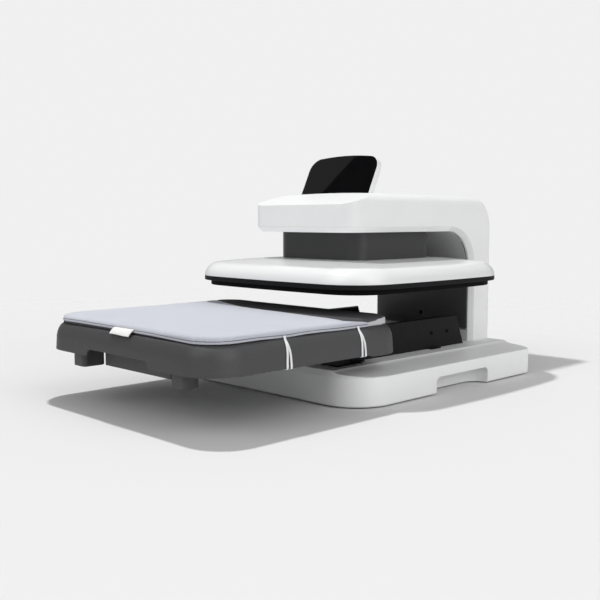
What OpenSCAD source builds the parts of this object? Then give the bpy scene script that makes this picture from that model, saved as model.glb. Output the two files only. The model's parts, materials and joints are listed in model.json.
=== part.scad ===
// Automatic heat press: a C-frame with a powered press head over a pull-out tray.
// Millimetres, +Z up, the user stands on the -Y side. Shapes are drawn with the
// base's front edge at Y = 0, and placed() then puts the origin at the middle of
// the footprint, on the floor. The tray is drawn pulled out and the head raised.

/* [Base] */
// Width of the base
base_w = 414; // [400:1:440]
// Depth of the base, front edge to rear edge
base_d = 475; // [470:1:490]
// Plan radius of the front corners
base_front_r = 67; // [40:1:80]
// Plan radius of the rear corners
base_rear_r = 20; // [10:1:40]
// Height of the raised platform above the floor
platform_h = 55.5; // [52:0.5:58]
// Width of the raised platform
platform_w = 300; // [286:1:320]
// Height of the step from the wings up to the platform
riser_h = 4; // [2:0.5:6]
// Fall of the wings from the step to the side edge
wing_fall = 4.8; // [2:0.1:8]
// Radius on the base's top edge
base_edge_r = 2.5; // [1:0.5:5]
// Radius on the base's bottom edge
base_hem_r = 4; // [1:0.5:6]
// Distance of the hand grips behind the base's front
grip_front = 187; // [160:1:200]
// Length of the hand grips
grip_len = 144; // [110:1:160]
// Height of the hand grips above the floor
grip_h = 28.8; // [24:0.2:32]
// Depth of the hand grips into the side
grip_depth = 31; // [24:1:36]
// Height of the rubber feet
foot_h = 3; // [2:0.5:5]
// Diameter of the rubber feet
foot_d = 26; // [18:1:34]

/* [Frame] */
// Width of the C-frame's head and column
head_w = 231.2; // [224:0.2:244]
// Distance of the head's front behind the base's front
head_front = 76.65; // [70:0.05:84]
// Height of the head's underside
head_under = 258.5; // [255:0.5:264]
// Height of the sloping lip round the throat, up to the parting line
cover_lip = 8.5; // [6:0.5:11]
// Draw-in of that lip from the frame's sides
lip_in = 7.5; // [5:0.5:10]
// Height of the crease where the head's sloping top begins
head_crease = 303.7; // [299:0.1:306]
// Height of the frame's top at its middle
frame_top = 324; // [320:0.5:328]
// Length of the sloping top behind the crease
slope_len = 80; // [60:1:100]
// Rise of the crowned top from its edges to its middle
top_crown = 2.7; // [1.5:0.1:4]
// Radius of the long upper edges
top_edge_r = 22; // [14:1:24]
// Plan radius of the head's front corners
head_front_r = 31; // [20:1:40]
// Plan radius of the column's rear corners
frame_rear_r = 12; // [6:1:20]
// Depth of the column, from its front edge to the rear
column_d = 63.5; // [62:0.5:66]
// Radius of the arch between the head and the column
arch_r = 62; // [50:1:70]
// Radius of the frame's rear upper corner
back_r = 62; // [40:1:70]
// Wall of the plastic shells
wall = 3; // [2:0.25:4]
// Thickness of the steel plates inside
steel_t = 4; // [3:0.5:6]
// How far the column's liner stands proud of the frame
liner_proud = 3.5; // [2:0.5:4.5]
// Depth of the liner's sunken field
liner_sink = 8; // [5:0.5:9]
// Width of the liner's sunken field
liner_field_w = 176; // [140:1:190]
// Height of the liner's lower end above the platform
liner_foot = 23.5; // [16:0.5:30]
// Diameter of the sensor hole in the liner
sensor_d = 8; // [5:0.5:12]
// Height of the sensor hole above the platform
sensor_h = 45.5; // [40:0.5:60]

/* [Display] */
// Width of the display
display_w = 159; // [130:1:180]
// Height of the display along its slanting face
display_l = 76; // [60:0.5:85]
// Lean of the display from upright, in degrees
display_lean = 25.6; // [15:0.1:35]
// Thickness of the display housing
display_t = 15; // [12:0.5:20]
// Thickness of the display glass
glass_t = 2.5; // [1.5:0.5:4]
// Radius of the display's upper corners
display_r = 24; // [10:1:30]
// Rise of the display's top edge in its middle
display_crown = 6.5; // [1:0.5:8]
// Distance of the display's front edge behind the head's front
display_front = 86.9; // [84:0.1:120]

/* [Press head] */
// Gap between the platen's rear edge and the column's liner
platen_gap = 1.6; // [1:0.1:6]
// Width and depth of the platen
platen_w = 403; // [390:1:412]
// Plan radius of the platen's corners
platen_r = 75; // [50:1:85]
// Outward bow of the platen's sides
platen_bow = 3.8; // [0:0.1:5]
// Set-back of the heat plate from the rim
plate_inset = 11; // [6:0.5:16]
// Height of the heat plate's face above the floor, head raised
plate_under = 167; // [165:0.5:172]
// Thickness of the heat plate
plate_t = 8.5; // [6:0.5:10]
// Thickness of the rim round the heat plate
rim_t = 7.5; // [6:0.5:10]
// Height of the platen cover above the rim
lid_h = 30; // [27:0.5:33]
// Width of the cover's rounded edge
lid_edge_w = 28; // [20:1:36]
// Height of the cover's rounded edge
lid_edge_h = 24; // [18:0.5:26]
// Downward travel of the press head
press_travel = 29; // [20:0.5:29]
// Width of the neck
neck_w = 191.2; // [180:0.2:200]
// Depth of the neck
neck_d = 199; // [190:1:205]
// Distance of the neck's front behind the base's front
neck_front = 120.3; // [117:0.1:124]
// Plan radius of the neck's corners
neck_r = 27; // [15:1:35]
// Diameter of the lead screw
screw_d = 16; // [12:1:20]
// Diameter of the guide rods
rod_d = 12; // [10:1:14]
// Distance between the guide rods
rod_gap = 140; // [120:1:150]

/* [Tray] */
// Width of the tray
tray_w = 414; // [400:1:420]
// Depth of the tray
tray_d = 383.7; // [370:0.1:390]
// How far the pulled-out tray stands before the base
tray_reach = 273.7; // [265:0.1:280]
// Height of the tray's lower edge above the floor
tray_under = 82.5; // [81:0.5:84]
// Height of the tray from its lower edge to its top
tray_h = 40; // [38:0.5:41]
// Plan radius of the tray's front corners
tray_front_r = 56; // [40:1:70]
// Plan radius of the tray's rear corners
tray_rear_r = 52; // [40:1:70]
// Width of the tray's rounded shoulder
shoulder_w = 14; // [10:0.5:18]
// Height of the tray's rounded shoulder
shoulder_h = 28; // [20:0.5:32]
// Width of the hand recess in the front of the tray
recess_w = 154; // [120:1:160]
// Height of the hand recess
recess_h = 10; // [6:0.5:14]
// Width of the pull behind the hand recess
pull_w = 165; // [90:1:180]
// Drop of the pull below the tray's lower edge
pull_drop = 17.8; // [8:0.2:19]
// Distance between the tray's two front feet
leg_gap = 248; // [220:1:260]
// Width of a tray foot
leg_w = 32; // [28:1:44]
// Drop of the tray's feet below its lower edge
leg_drop = 22; // [16:0.5:23]

/* [Pad] */
// Thickness of the foam mat
mat_t = 13; // [10:0.5:13]
// Set-back of the foam mat from the tray's outline
mat_inset = 12; // [10:0.5:24]
// Draw-in of the mat's sides between its corners
mat_draw = 1.5; // [0:0.1:3]
// Thickness of the cloth cover
cloth_t = 0.8; // [0.6:0.1:1.2]
// Distance of the cloth cover's rear edge before the mat's rear edge
cloth_short = 99; // [60:1:140]
// Turn of the hand-fitted cloth's rear edge, in degrees
cloth_turn = 4; // [0:0.5:6]
// Width of an elastic strand
strand_w = 4; // [3:0.5:6]
// Thickness of an elastic strand
strand_t = 1.2; // [0.8:0.1:2]
// Width of the pull tab
tab_w = 48; // [30:1:60]
// Length of the pull tab
tab_l = 13; // [9:1:13]

/* [Slides] */
// Distance between the outer faces of the two slide brackets
bracket_gap = 238.6; // [234:0.2:242]
// Height of the slide brackets
bracket_h = 52.5; // [50:0.5:54]
// Length of a slide bracket's foot
bracket_len = 302; // [290:1:306]
// Thickness of the bracket's sheet
sheet_t = 2; // [1.5:0.25:3]
// Distance of the slides' front end behind the base's front
rail_front = 80; // [76:1:90]
// Length of the slides
rail_len = 280; // [276:1:304]
// Height of the slides' outer rails
rail_h = 45; // [42:0.5:46]
// Width of a slide, all three rails together
rail_w = 12.7; // [11:0.1:15]
// Thickness of the rails' sheet
rail_t = 1.2; // [1:0.1:1.4]

/* [Power] */
// Height of the power panel's middle above the platform
panel_h = 32; // [28:1:45]
// Width of the power panel
panel_w = 84; // [78:1:100]

/* [Hidden] */
$fn = 96;
arc_n = 8;
side_n = 6;
fit = 0.3;
run = 0.05;
far = 1000;
over = 1;
hole_gap = 2;
board_t = 1.6;

// Places along Y, in the frame with the base's front at zero
y_mid = (base_d - tray_reach) / 2;
column_y = base_d - column_d;
arch_y = column_y - arch_r;
arch_z = head_under - arch_r;
parting_z = head_under + cover_lip;
neck_y1 = neck_front + neck_d;
tray_y0 = -tray_reach;
tray_y1 = tray_d - tray_reach;
platen_y = column_y - liner_proud - platen_gap - platen_w / 2;
drawer_travel = platen_y - (tray_y0 + tray_y1) / 2;
rail_y1 = rail_front + rail_len;

// Heights
edge_z = platform_h - riser_h - wing_fall;
shell_z = 1.6;
plate_z = plate_under + plate_t;
rim_z = plate_z + rim_t;
lid_z = rim_z + lid_h;
neck_lap = 3;
neck_z = head_under + press_travel + neck_lap;
tray_z = tray_under + tray_h;
mat_z = tray_z + mat_t;
rail_lift = 7;
rail_z = platform_h + rail_lift + rail_h / 2;

// Steel inside the head: a cross plate hung between two side plates
head_hw = head_w / 2;
steel_x = head_hw - wall - fit;
beam_gap = 3.5;
beam_z = neck_z + beam_gap;
beam_t = 6;
steel_z0 = parting_z + steel_t;
steel_z1 = beam_z + beam_t;
liner_back = 8;
steel_y = column_y + liner_back + sheet_t;

// Drive inside the neck
carriage_t = 5;
carriage_z = lid_z + carriage_t;
gearbox_w = 70;
gearbox_h = 32;
gearbox_z = beam_z - gearbox_h;
bearing_h = 6;
bearing_z = gearbox_z - bearing_h;
motor_d = 38;
bush_d = 21;
bush_h = 36;
nut_d = 28;
nut_h = 22;
nut_lip = 6;
journal_d = 0.75 * screw_d;
screw_tip = 7;
screw_z = rim_z + screw_tip;
post_d = 12;
post_gap = 150;

// Slides: each rail's flanges lie a running gap inside those of the next
bracket_x = bracket_gap / 2;
rail_x1 = bracket_x - sheet_t;
rail_x0 = rail_x1 - rail_w;
mid_hh = rail_h / 2 - rail_t - fit;
mid_flange = 2.4;
inner_hh = mid_hh - mid_flange - fit;
rail_lip = 2;

// Placing and extruding

// Moves the whole press so that its origin is under the middle of its outline
module placed() translate([0, -y_mid, 0]) children();

// Extrudes a Y-Z profile along X
module along_x(x0, x1) translate([x0, 0, 0]) rotate([90, 0, 90]) linear_extrude(x1 - x0) children();

// Extrudes an X-Z profile along Y
module along_y(y0, y1) translate([0, y1, 0]) rotate([90, 0, 0]) linear_extrude(y1 - y0) children();

// Extrudes a plan upwards
module up(z0, z1) translate([0, 0, z0]) linear_extrude(z1 - z0) children();

// Draws its children on the right-hand and on the left-hand side
module both_sides() {
    children();
    mirror([1, 0, 0]) children();
}

// Plans

// Rectangle between two corners, with round corners
module round_rect(x0, y0, x1, y1, r) {
    translate([x0 + r, y0]) square([x1 - x0 - 2 * r, y1 - y0]);
    translate([x0, y0 + r]) square([x1 - x0, y1 - y0 - 2 * r]);
    for (x = [x0 + r, x1 - r], y = [y0 + r, y1 - r])
        translate([x, y]) circle(r);
}

// Outline with one radius at the front corners and another at the rear corners
module plan(hw, y0, y1, front_r, rear_r) {
    translate([-hw, y0 + front_r]) square([2 * hw, y1 - y0 - front_r - rear_r]);
    translate([-hw + front_r, y0]) square([2 * (hw - front_r), front_r + over]);
    translate([-hw + rear_r, y1 - rear_r - over]) square([2 * (hw - rear_r), rear_r + over]);
    for (s = [-1, 1]) {
        translate([s * (hw - front_r), y0 + front_r]) circle(front_r);
        translate([s * (hw - rear_r), y1 - rear_r]) circle(rear_r);
    }
}

// Points of a quarter round, and those inside a side that bows out by a given amount
function arc_pts(c, r, a0) = [for (i = [0:arc_n]) c + r * [cos(a0 + 90 * i / arc_n), sin(a0 + 90 * i / arc_n)]];
function side_pts(p, q, bow) = let (d = q - p, out = [d.y, -d.x] / norm(d))
    bow == 0 ? [] : [for (i = [1:side_n - 1]) let (s = i / side_n) p + s * d + 4 * s * (1 - s) * bow * out];

// Points of an outline, counter-clockwise from its front right corner
function plan_pts(hw, y0, y1, front_r, rear_r, bow = 0, rear_bow = 0) =
    let (fr = arc_pts([hw - front_r, y0 + front_r], front_r, -90),
         rr = arc_pts([hw - rear_r, y1 - rear_r], rear_r, 0),
         rl = arc_pts([-hw + rear_r, y1 - rear_r], rear_r, 90),
         fl = arc_pts([-hw + front_r, y0 + front_r], front_r, 180))
    concat(fr, side_pts(fr[arc_n], rr[0], bow), rr, side_pts(rr[arc_n], rl[0], rear_bow),
           rl, side_pts(rl[arc_n], fl[0], bow), fl, side_pts(fl[arc_n], fr[0], bow));
function at_height(pts, z) = [for (p = pts) [p.x, p.y, z]];
function between(a, b, s) = [for (i = [0:len(a) - 1]) a[i] + s * (b[i] - a[i])];

// Solid through a stack of rings of points
module loft(rings) {
    n = len(rings[0]);
    m = len(rings);
    walls = [for (k = [0:m - 2], i = [0:n - 1])
        let (a = k * n + i, b = k * n + (i + 1) % n) each [[a, a + n, b], [b, a + n, b + n]]];
    polyhedron(points = [for (ring = rings) each ring],
        faces = concat([[for (i = [0:n - 1]) i]], walls, [[for (i = [n - 1:-1:0]) (m - 1) * n + i]]));
}

// Base

// Outline of the base drawn in by a distance
function base_ring(inset, z) = at_height(plan_pts(base_w / 2 - inset, inset, base_d - inset,
    base_front_r - inset, base_rear_r - inset), z);

// Lower body with rounded edges, and the wings and platform on top of it
module base_outer() {
    loft(concat(
        [for (a = [0:30:90]) base_ring(base_hem_r * (1 - sin(a)), shell_z + base_hem_r * (1 - cos(a)))],
        [for (a = [0:30:90]) base_ring(base_edge_r * (1 - cos(a)), edge_z - base_edge_r * (1 - sin(a)))]));
    intersection() {
        along_y(0, base_d) polygon(concat(
            roof_pts, [for (i = [len(roof_pts) - 1:-1:0]) [-roof_pts[i].x, roof_pts[i].y]]));
        up(0, platform_h + over) plan(base_w / 2 - base_edge_r, base_edge_r, base_d - base_edge_r,
            base_front_r - base_edge_r, base_rear_r - base_edge_r);
    }
}
riser_run = 1.75 * riser_h;
roof_pts = [[base_w / 2 - base_edge_r, edge_z - over], [base_w / 2 - base_edge_r, edge_z],
    [platform_w / 2 + riser_run, platform_h - riser_h], [platform_w / 2, platform_h]];

// Space of the right-hand grip, larger all round by a given amount
module grip(grow) {
    grip_r = grip_depth - 3;
    corner_r = 9;
    intersection() {
        up(-over, grip_h + grow) round_rect(base_w / 2 - grip_depth - grow, grip_front - grow,
            base_w / 2 + grip_depth, grip_front + grip_len + grow, grip_r + grow);
        along_x(0, base_w) round_rect(grip_front - grow, -grip_h, grip_front + grip_len + grow,
            grip_h + grow, corner_r + grow);
    }
}

// Space inside the base, drawn in from its outline by a distance
module base_inside(inset, z0, z1)
    up(z0, z1) plan(base_w / 2 - inset, inset, base_d - inset,
        base_front_r - inset, max(base_rear_r - inset, 2));

module base_shell() color("white") placed() difference() {
    base_outer();
    difference() {
        base_inside(wall + base_hem_r, -over, edge_z - 2 * wall);
        both_sides() grip(wall);
    }
    intersection() {
        base_inside(wall + base_hem_r, 2 * wall, platform_h - wall);
        along_y(0, base_d) translate([-platform_w / 2 + wall, 0]) square([platform_w - 2 * wall, platform_h]);
    }
    both_sides() grip(0);
}

module base_plate() color("dimgray") placed() difference() {
    base_inside(wall + base_hem_r + fit, foot_h, foot_h + sheet_t);
    both_sides() grip(wall + fit);
}

module base_feet() color("black") placed() {
    foot_inset = base_front_r;
    for (x = [-1, 1], y = [foot_inset, base_d - foot_inset])
        translate([x * (base_w / 2 - foot_inset), y, 0]) cylinder(d = foot_d, h = foot_h);
}

// Frame

// Side view of the frame without its throat, drawn in by a distance
module frame_side(t) {
    y0 = head_front + t;
    y1 = base_d - back_r;
    z1 = frame_top - t;
    polygon([[y0, platform_h], [y0, head_crease - t], [head_front + slope_len, z1], [y1, z1],
        [y1, platform_h]]);
    translate([y1, platform_h]) square([back_r - t, frame_top - back_r - platform_h]);
    translate([y1, frame_top - back_r]) circle(back_r - t);
}

// Front view of the frame: rounded upper edges under a shallow crown
module frame_front(t) {
    crown_r = (head_hw * head_hw + top_crown * top_crown) / (2 * top_crown);
    hw = head_hw - t;
    r = top_edge_r - t;
    intersection() {
        union() {
            translate([-hw, platform_h]) square([2 * hw, frame_top - t - r - platform_h]);
            translate([-hw + r, platform_h]) square([2 * (hw - r), frame_top - t - platform_h]);
            for (s = [-1, 1]) translate([s * (hw - r), frame_top - t - r]) circle(r);
        }
        translate([0, frame_top - t - crown_r]) circle(crown_r, $fn = 720);
    }
}

// All of the frame's space, its upper rear corner limited by an arc with rounded edges
module rolled_corner(t) {
    y1 = base_d - back_r;
    z1 = frame_top - back_r;
    up(0, z1) translate([-head_hw, 0]) square([head_w, base_d]);
    up(0, frame_top) translate([-head_hw, 0]) square([head_w, y1]);
    translate([0, y1, z1]) rotate([90, 0, 90]) rotate_extrude(angle = 90) intersection() {
        round_rect(-back_r, -head_hw + t, back_r - t, head_hw - t, frame_rear_r - t);
        translate([0, -head_hw]) square([back_r, head_w]);
    }
}

module frame_solid(t) intersection() {
    along_x(-head_hw + t, head_hw - t) frame_side(t);
    rolled_corner(t);
    along_y(0, base_d) frame_front(t);
    up(0, frame_top) plan(head_hw - t, head_front + t, base_d - t, head_front_r - t, frame_rear_r - t);
}

// Throat of the frame in side view, down to the platform
module throat() {
    square([arch_y, parting_z]);
    square([column_y, arch_z]);
    translate([arch_y, arch_z]) circle(arch_r);
}

// What the sloping lip takes off the right-hand edge of the arch and the column, drawn in by a distance
module lip_waste(t) {
    slope = lip_in / cover_lip;
    x = head_hw - lip_in - t * norm([lip_in, cover_lip]) / cover_lip;
    deep = cover_lip + 2 * wall;
    cut = [[-over, x - over * slope], [deep, x + deep * slope], [-over, x + deep * slope]];
    translate([0, arch_y, arch_z]) rotate([90, 0, 90]) rotate_extrude(angle = 90)
        polygon([for (c = cut) [arch_r + c.x, c.y]]);
    up(platform_h - over, arch_z) polygon([for (c = cut) [c.y, column_y + c.x]]);
}

// White foot of the column below the liner, its top sloping back
module column_boot() {
    z1 = platform_h + liner_foot - fit;
    along_x(-head_hw + wall / 2, head_hw - wall / 2)
        polygon([[column_y, platform_h], [column_y, z1 - wall], [column_y + wall, z1],
            [column_y + 2 * wall, z1], [column_y + 2 * wall, platform_h]]);
}

module frame_shell() color("white") placed() difference() {
    union() {
        difference() {
            frame_solid(0);
            along_x(-head_w, head_w) throat();
            difference() {
                frame_solid(wall);
                both_sides() lip_waste(wall);
            }
        }
        column_boot();
    }
    both_sides() lip_waste(0);
    along_y(base_d - 2 * wall, base_d + over) panel_hole(0);
    for (i = [0:vent_n - 1])
        along_y(base_d - 2 * wall, base_d + over) translate([0, vent_z + i * vent_pitch])
            round_rect(-vent_w / 2, 0, vent_w / 2, vent_h, vent_h / 2 - 0.01);
    display_slab(-fit, display_t + fit, fit);
}
vent_n = 7;
vent_w = 70;
vent_h = 3;
vent_pitch = 7;
vent_lift = 110;
vent_z = platform_h + vent_lift;

// Bottom cover of the head: its lower edges slope in, and the neck passes through it
module head_bottom_cover() color("white") placed() difference() {
    loft([for (s = [1, 0]) at_height(plan_pts(head_hw - s * lip_in, head_front + s * lip_in, arch_y - fit,
        head_front_r - s * lip_in / 2, 1), parting_z - s * cover_lip)]);
    up(head_under - over, parting_z + over) neck_plan(neck_gap);
}
neck_gap = 1.2;

// Closes the throat from one height to another: a core between the lips, with a face over them if proud
module throat_panel(z0, z1, proud) intersection() {
    union() {
        if (proud > 0) along_x(-liner_hw, liner_hw) arch_band(-proud, -fit);
        along_x(-liner_hw + lip_wall, liner_hw - lip_wall) arch_band(-proud, liner_back);
    }
    along_x(-head_hw, head_hw) translate([arch_y, z0]) square([far, z1 - z0]);
}
lip_wall = 2 * wall;
liner_hw = head_hw - lip_in - fit;

// Band that follows the column's front and the arch, between two depths behind the frame's edge
module arch_band(d0, d1) intersection() {
    difference() {
        arch_fill(arch_r + d1);
        arch_fill(arch_r + d0);
    }
    translate([arch_y, platform_h]) square(far);
}
module arch_fill(r) {
    translate([arch_y - over, 0]) square([r + over, arch_z]);
    translate([arch_y, arch_z]) circle(r);
}

module column_liner() color("#3a3a3c") placed() difference() {
    field_foot = 10;
    throat_panel(platform_h + liner_foot, arch_z - fit, liner_proud);
    along_x(-liner_field_w / 2, liner_field_w / 2) translate([0, platform_h + liner_foot + field_foot])
        square([column_y + liner_sink - liner_proud, far]);
    translate([0, column_y, platform_h + sensor_h]) rotate([-90, 0, 0])
        cylinder(d = sensor_d, h = 2 * liner_back);
}

// White lining of the arch above the column's liner, flush with the frame's edge
module arch_lining() color("white") placed() throat_panel(arch_z, parting_z, 0);

// Optical sensor that looks through the liner's hole at the closed tray
module drawer_sensor() color("black") placed() {
    board_w = 24;
    board_h = 16;
    eye_l = 2;
    y0 = column_y + liner_back;
    translate([-board_w / 2, y0, platform_h + sensor_h - board_h / 2]) cube([board_w, board_t, board_h]);
    translate([0, y0 - eye_l, platform_h + sensor_h]) rotate([-90, 0, 0])
        cylinder(d = 0.75 * sensor_d, h = eye_l + board_t / 2);
}

// Welded steel frame: two C-shaped side plates, a cross plate in the head and a back plate
module steel_frame() color("silver") placed() {
    arm_y0 = head_front + head_front_r;
    difference() {
        union() {
            both_sides() along_x(steel_x - steel_t, steel_x) intersection() {
                union() {
                    translate([arm_y0, steel_z0]) square([base_d - arm_y0, steel_z1 - steel_z0]);
                    translate([steel_y, platform_h]) square([base_d - steel_y, steel_z1 - platform_h]);
                }
                frame_side(wall + fit + 0.625 * frame_rear_r);
            }
            translate([-steel_x + steel_t / 2, beam_y0, beam_z])
                cube([2 * steel_x - steel_t, arch_y - beam_y0, beam_t]);
            translate([-steel_x + steel_t / 2, back_y, platform_h])
                cube([2 * steel_x - steel_t, steel_t, frame_top - back_r - platform_h]);
        }
        for (s = [-1, 1]) translate([s * rod_gap / 2, platen_y, beam_z - over])
            cylinder(d = rod_d + 2 * hole_gap, h = beam_t + 2 * over);
        translate([0, platen_y, beam_z - over]) cylinder(d = screw_d + 2 * hole_gap, h = beam_t + 2 * over);
        along_y(back_y - over, back_y + steel_t + over) panel_hole(-panel_clear);
    }
}
beam_y0 = neck_front - steel_t;
back_y = base_d - 4 * wall;
panel_clear = 6;

// Display

// Front view of the display: an arched top edge that runs into round corners, larger by a given amount
module display_view(grow) {
    hw = display_w / 2 + grow;
    top = display_l + grow;
    root = 8;
    shoulder = hw - display_r;
    drop = display_crown * pow(shoulder / hw, 2);
    steps = 12;
    hull() {
        translate([-hw, -root]) square([2 * hw, root]);
        for (s = [-1, 1]) translate([s * shoulder, top - drop - display_r]) circle(display_r);
        polygon(concat([[0, 0]],
            [for (i = [-steps:steps]) [shoulder * i / steps, top - drop * pow(i / steps, 2)]]));
    }
}

// Slanting slab of the display, from one depth behind its front face to another
module display_slab(d0, d1, grow)
    translate([0, head_front + display_front, frame_top - top_crown]) rotate([-display_lean, 0, 0])
        along_y(d0, d1) display_view(grow);

// Housing with a narrow edge all round the glass that lies in it
module display_housing() color("white") placed() difference() {
    intersection() {
        hull() {
            display_slab(0, display_t - display_back, 0);
            display_slab(display_t - display_back, display_t, -display_back);
        }
        translate([-far / 2, 0, frame_top - 2 * wall]) cube(far);
    }
    display_slab(-over, glass_t, fit - display_edge);
}
display_back = 4;
display_edge = 1;

module display_glass() color("#101012") placed() intersection() {
    display_slab(0, glass_t, -display_edge);
    translate([-far / 2, 0, frame_top - wall]) cube(far);
}

// Drive in the head

module gearbox() color("gray") placed() difference() {
    translate([-gearbox_w / 2, platen_y - gearbox_w / 2, gearbox_z]) cube([gearbox_w, gearbox_w, gearbox_h]);
    translate([0, platen_y, gearbox_z - over]) cylinder(d = journal_d + 2 * run, h = gearbox_h + 2 * over);
}

module drive_motor() color("dimgray") placed() {
    motor_y = platen_y + gearbox_w / 2;
    motor_l = neck_y1 - wall - steel_t - motor_y;
    cap_l = 8;
    translate([0, motor_y, beam_z - motor_d / 2 - over]) rotate([-90, 0, 0]) {
        cylinder(d = motor_d, h = motor_l - cap_l);
        cylinder(d = motor_d - cap_l, h = motor_l);
    }
}

module screw_bearing() color("silver") placed() translate([0, platen_y, bearing_z]) difference() {
    cylinder(d = nut_d + 2, h = bearing_h);
    translate([0, 0, -over]) cylinder(d = journal_d + 2 * run, h = bearing_h + 2 * over);
}

module guide_bushes() color("goldenrod") placed()
    for (s = [-1, 1]) translate([s * rod_gap / 2, platen_y, beam_z]) difference() {
        union() {
            translate([0, 0, -bush_h]) cylinder(d = bush_d, h = bush_h);
            translate([0, 0, -steel_t]) cylinder(d = bush_d + 2 * nut_lip, h = steel_t);
        }
        translate([0, 0, -bush_h - over]) cylinder(d = rod_d + 2 * run, h = bush_h + 2 * over);
    }

// Electronics in the column

module control_board() color("darkgreen") placed() {
    board_w = 160;
    board_h = 62;
    stand_l = 8;
    stand_d = 6;
    relay = [24, 10, 20];
    relay_n = 4;
    relay_x = 12;
    relay_pitch = 37;
    y0 = back_y - stand_l;
    z0 = arch_z - sheet_t;
    translate([-board_w / 2, y0, z0]) cube([board_w, board_t, board_h]);
    for (x = [-1, 1], z = [stand_d, board_h - stand_d])
        translate([x * (board_w / 2 - stand_d), y0 + board_t / 2, z0 + z])
            rotate([-90, 0, 0]) cylinder(d = stand_d, h = stand_l - board_t / 2);
    for (i = [0:relay_n - 1])
        translate([-board_w / 2 + relay_x + i * relay_pitch, y0 - relay.y + board_t / 2, z0 + relay_x])
            cube(relay);
}

module power_supply() color("silver") placed() {
    supply = [120, 28, 72];
    supply_lift = 62;
    translate([-supply.x / 2, back_y - supply.y, platform_h + supply_lift]) cube(supply);
}

// Power panel at the back of the column

panel_z = platform_h + panel_h;
panel_hh = 18;
inlet_x = -panel_w / 4;
inlet_w = 28;
inlet_h = 22;
socket_w = 24.4;
socket_h = 17;
socket_l = 17;
rocker_x = panel_w / 4;
rocker_w = 12;
rocker_r = 9.3;
rocker_set = 6.5;
rocker_y = base_d - rocker_set;
pivot_d = 3;
panel_r = 4;

module panel_hole(inset) translate([0, panel_z])
    round_rect(-panel_w / 2 + inset, -panel_hh + inset, panel_w / 2 - inset, panel_hh - inset, panel_r - inset);

module power_panel() color("#222224") placed() difference() {
    union() {
        along_y(base_d - wall - sheet_t / 2, base_d) panel_hole(fit);
        along_y(base_d - wall - sheet_t, base_d - wall) panel_hole(-panel_r);
    }
    translate([inlet_x - inlet_w / 2, base_d - 3 * wall, panel_z - inlet_h / 2])
        cube([inlet_w, 4 * wall, inlet_h]);
    translate([rocker_x - rocker_w / 2 - fit, base_d - 3 * wall, panel_z - rocker_r - fit])
        cube([rocker_w + 2 * fit, 4 * wall, 2 * (rocker_r + fit)]);
}

// Mains inlet: a socket with two bevelled corners, open to the rear
module power_inlet() color("#1a1a1c") placed() difference() {
    bevel = 5;
    inlet_l = socket_l + bevel;
    translate([inlet_x - inlet_w / 2, base_d - inlet_l, panel_z - inlet_h / 2])
        cube([inlet_w, inlet_l, inlet_h]);
    along_y(base_d - socket_l, base_d + over) translate([inlet_x, panel_z]) polygon([
        [-socket_w / 2, -socket_h / 2], [socket_w / 2, -socket_h / 2], [socket_w / 2, socket_h / 2 - bevel],
        [socket_w / 2 - bevel, socket_h / 2], [-socket_w / 2 + bevel, socket_h / 2],
        [-socket_w / 2, socket_h / 2 - bevel]]);
}

module inlet_pins() color("gold") placed() {
    pin = [2, socket_l - 5.5, 4];
    pin_gap = 7;
    for (i = [-1:1])
        translate([inlet_x + i * pin_gap - pin.x / 2, base_d - socket_l,
            panel_z - pin.z + (i == 0 ? pin.z : 0)])
            cube(pin);
}

// Switch housing with a round-bottomed well and two bearings for the rocker
module switch_body() color("#1a1a1c") placed() difference() {
    switch_l = 24;
    translate([rocker_x - rocker_w / 2 - wall, base_d - switch_l, panel_z - rocker_r - wall])
        cube([rocker_w + 2 * wall, switch_l - wall - sheet_t, 2 * (rocker_r + wall)]);
    translate([rocker_x, rocker_y, panel_z]) rotate([0, 90, 0])
        cylinder(r = rocker_r + fit, h = rocker_w + 2 * fit, center = true);
    translate([rocker_x, rocker_y, panel_z]) rotate([0, 90, 0])
        cylinder(d = pivot_d + 2 * run, h = rocker_w + 4 * over, center = true);
}

// Rocker, resting with its upper half pressed in
module power_rocker() color("#141416") placed() translate([rocker_x, rocker_y, panel_z]) {
    tilt = 9;
    face = 3.4;
    back = -4;
    along_x(-rocker_w / 2, rocker_w / 2) rotate(tilt) intersection() {
        circle(rocker_r);
        polygon([[back, -far], [face + far * tan(tilt), -far], [face, 0], [face + far * tan(tilt), far],
            [back, far]]);
    }
    rotate([0, 90, 0]) cylinder(d = pivot_d, h = rocker_w + 3 * over, center = true);
}

// Slides

// Right-hand slide bracket: an upright sheet with a slanting rear end, a foot flange and a screw tab
module bracket() {
    slant = 21;
    y1 = rail_front + bracket_len;
    flange = 17;
    tab = [11, 27, sheet_t];
    tab_back = 197;
    z1 = platform_h + bracket_h;
    along_x(rail_x1, bracket_x) polygon([[rail_front, platform_h], [rail_front, z1],
        [y1 - slant, z1], [y1, platform_h]]);
    translate([rail_x1 - flange, rail_front, platform_h]) cube([flange + sheet_t, bracket_len, sheet_t]);
    translate([rail_x1, rail_front + tab_back, platform_h]) cube(tab);
}
module bracket_right() color("#202022") placed() bracket();
module bracket_left() color("#202022") placed() mirror([1, 0, 0]) bracket();

// Domed screw heads on the brackets' outer faces
module bracket_screws() color("black") placed() both_sides() {
    head_r = 3.5;
    head_h = 2;
    dome_r = 6;
    drop = 2.6;
    hole_back = 208;
    hole_pitch = 45;
    for (y = [hole_back, hole_back + hole_pitch])
        translate([bracket_x, rail_front + y, rail_z - drop]) rotate([0, 90, 0])
        rotate_extrude() intersection() {
            translate([0, head_h - dome_r]) circle(dome_r);
            square([head_r, head_h]);
        }
}

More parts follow.
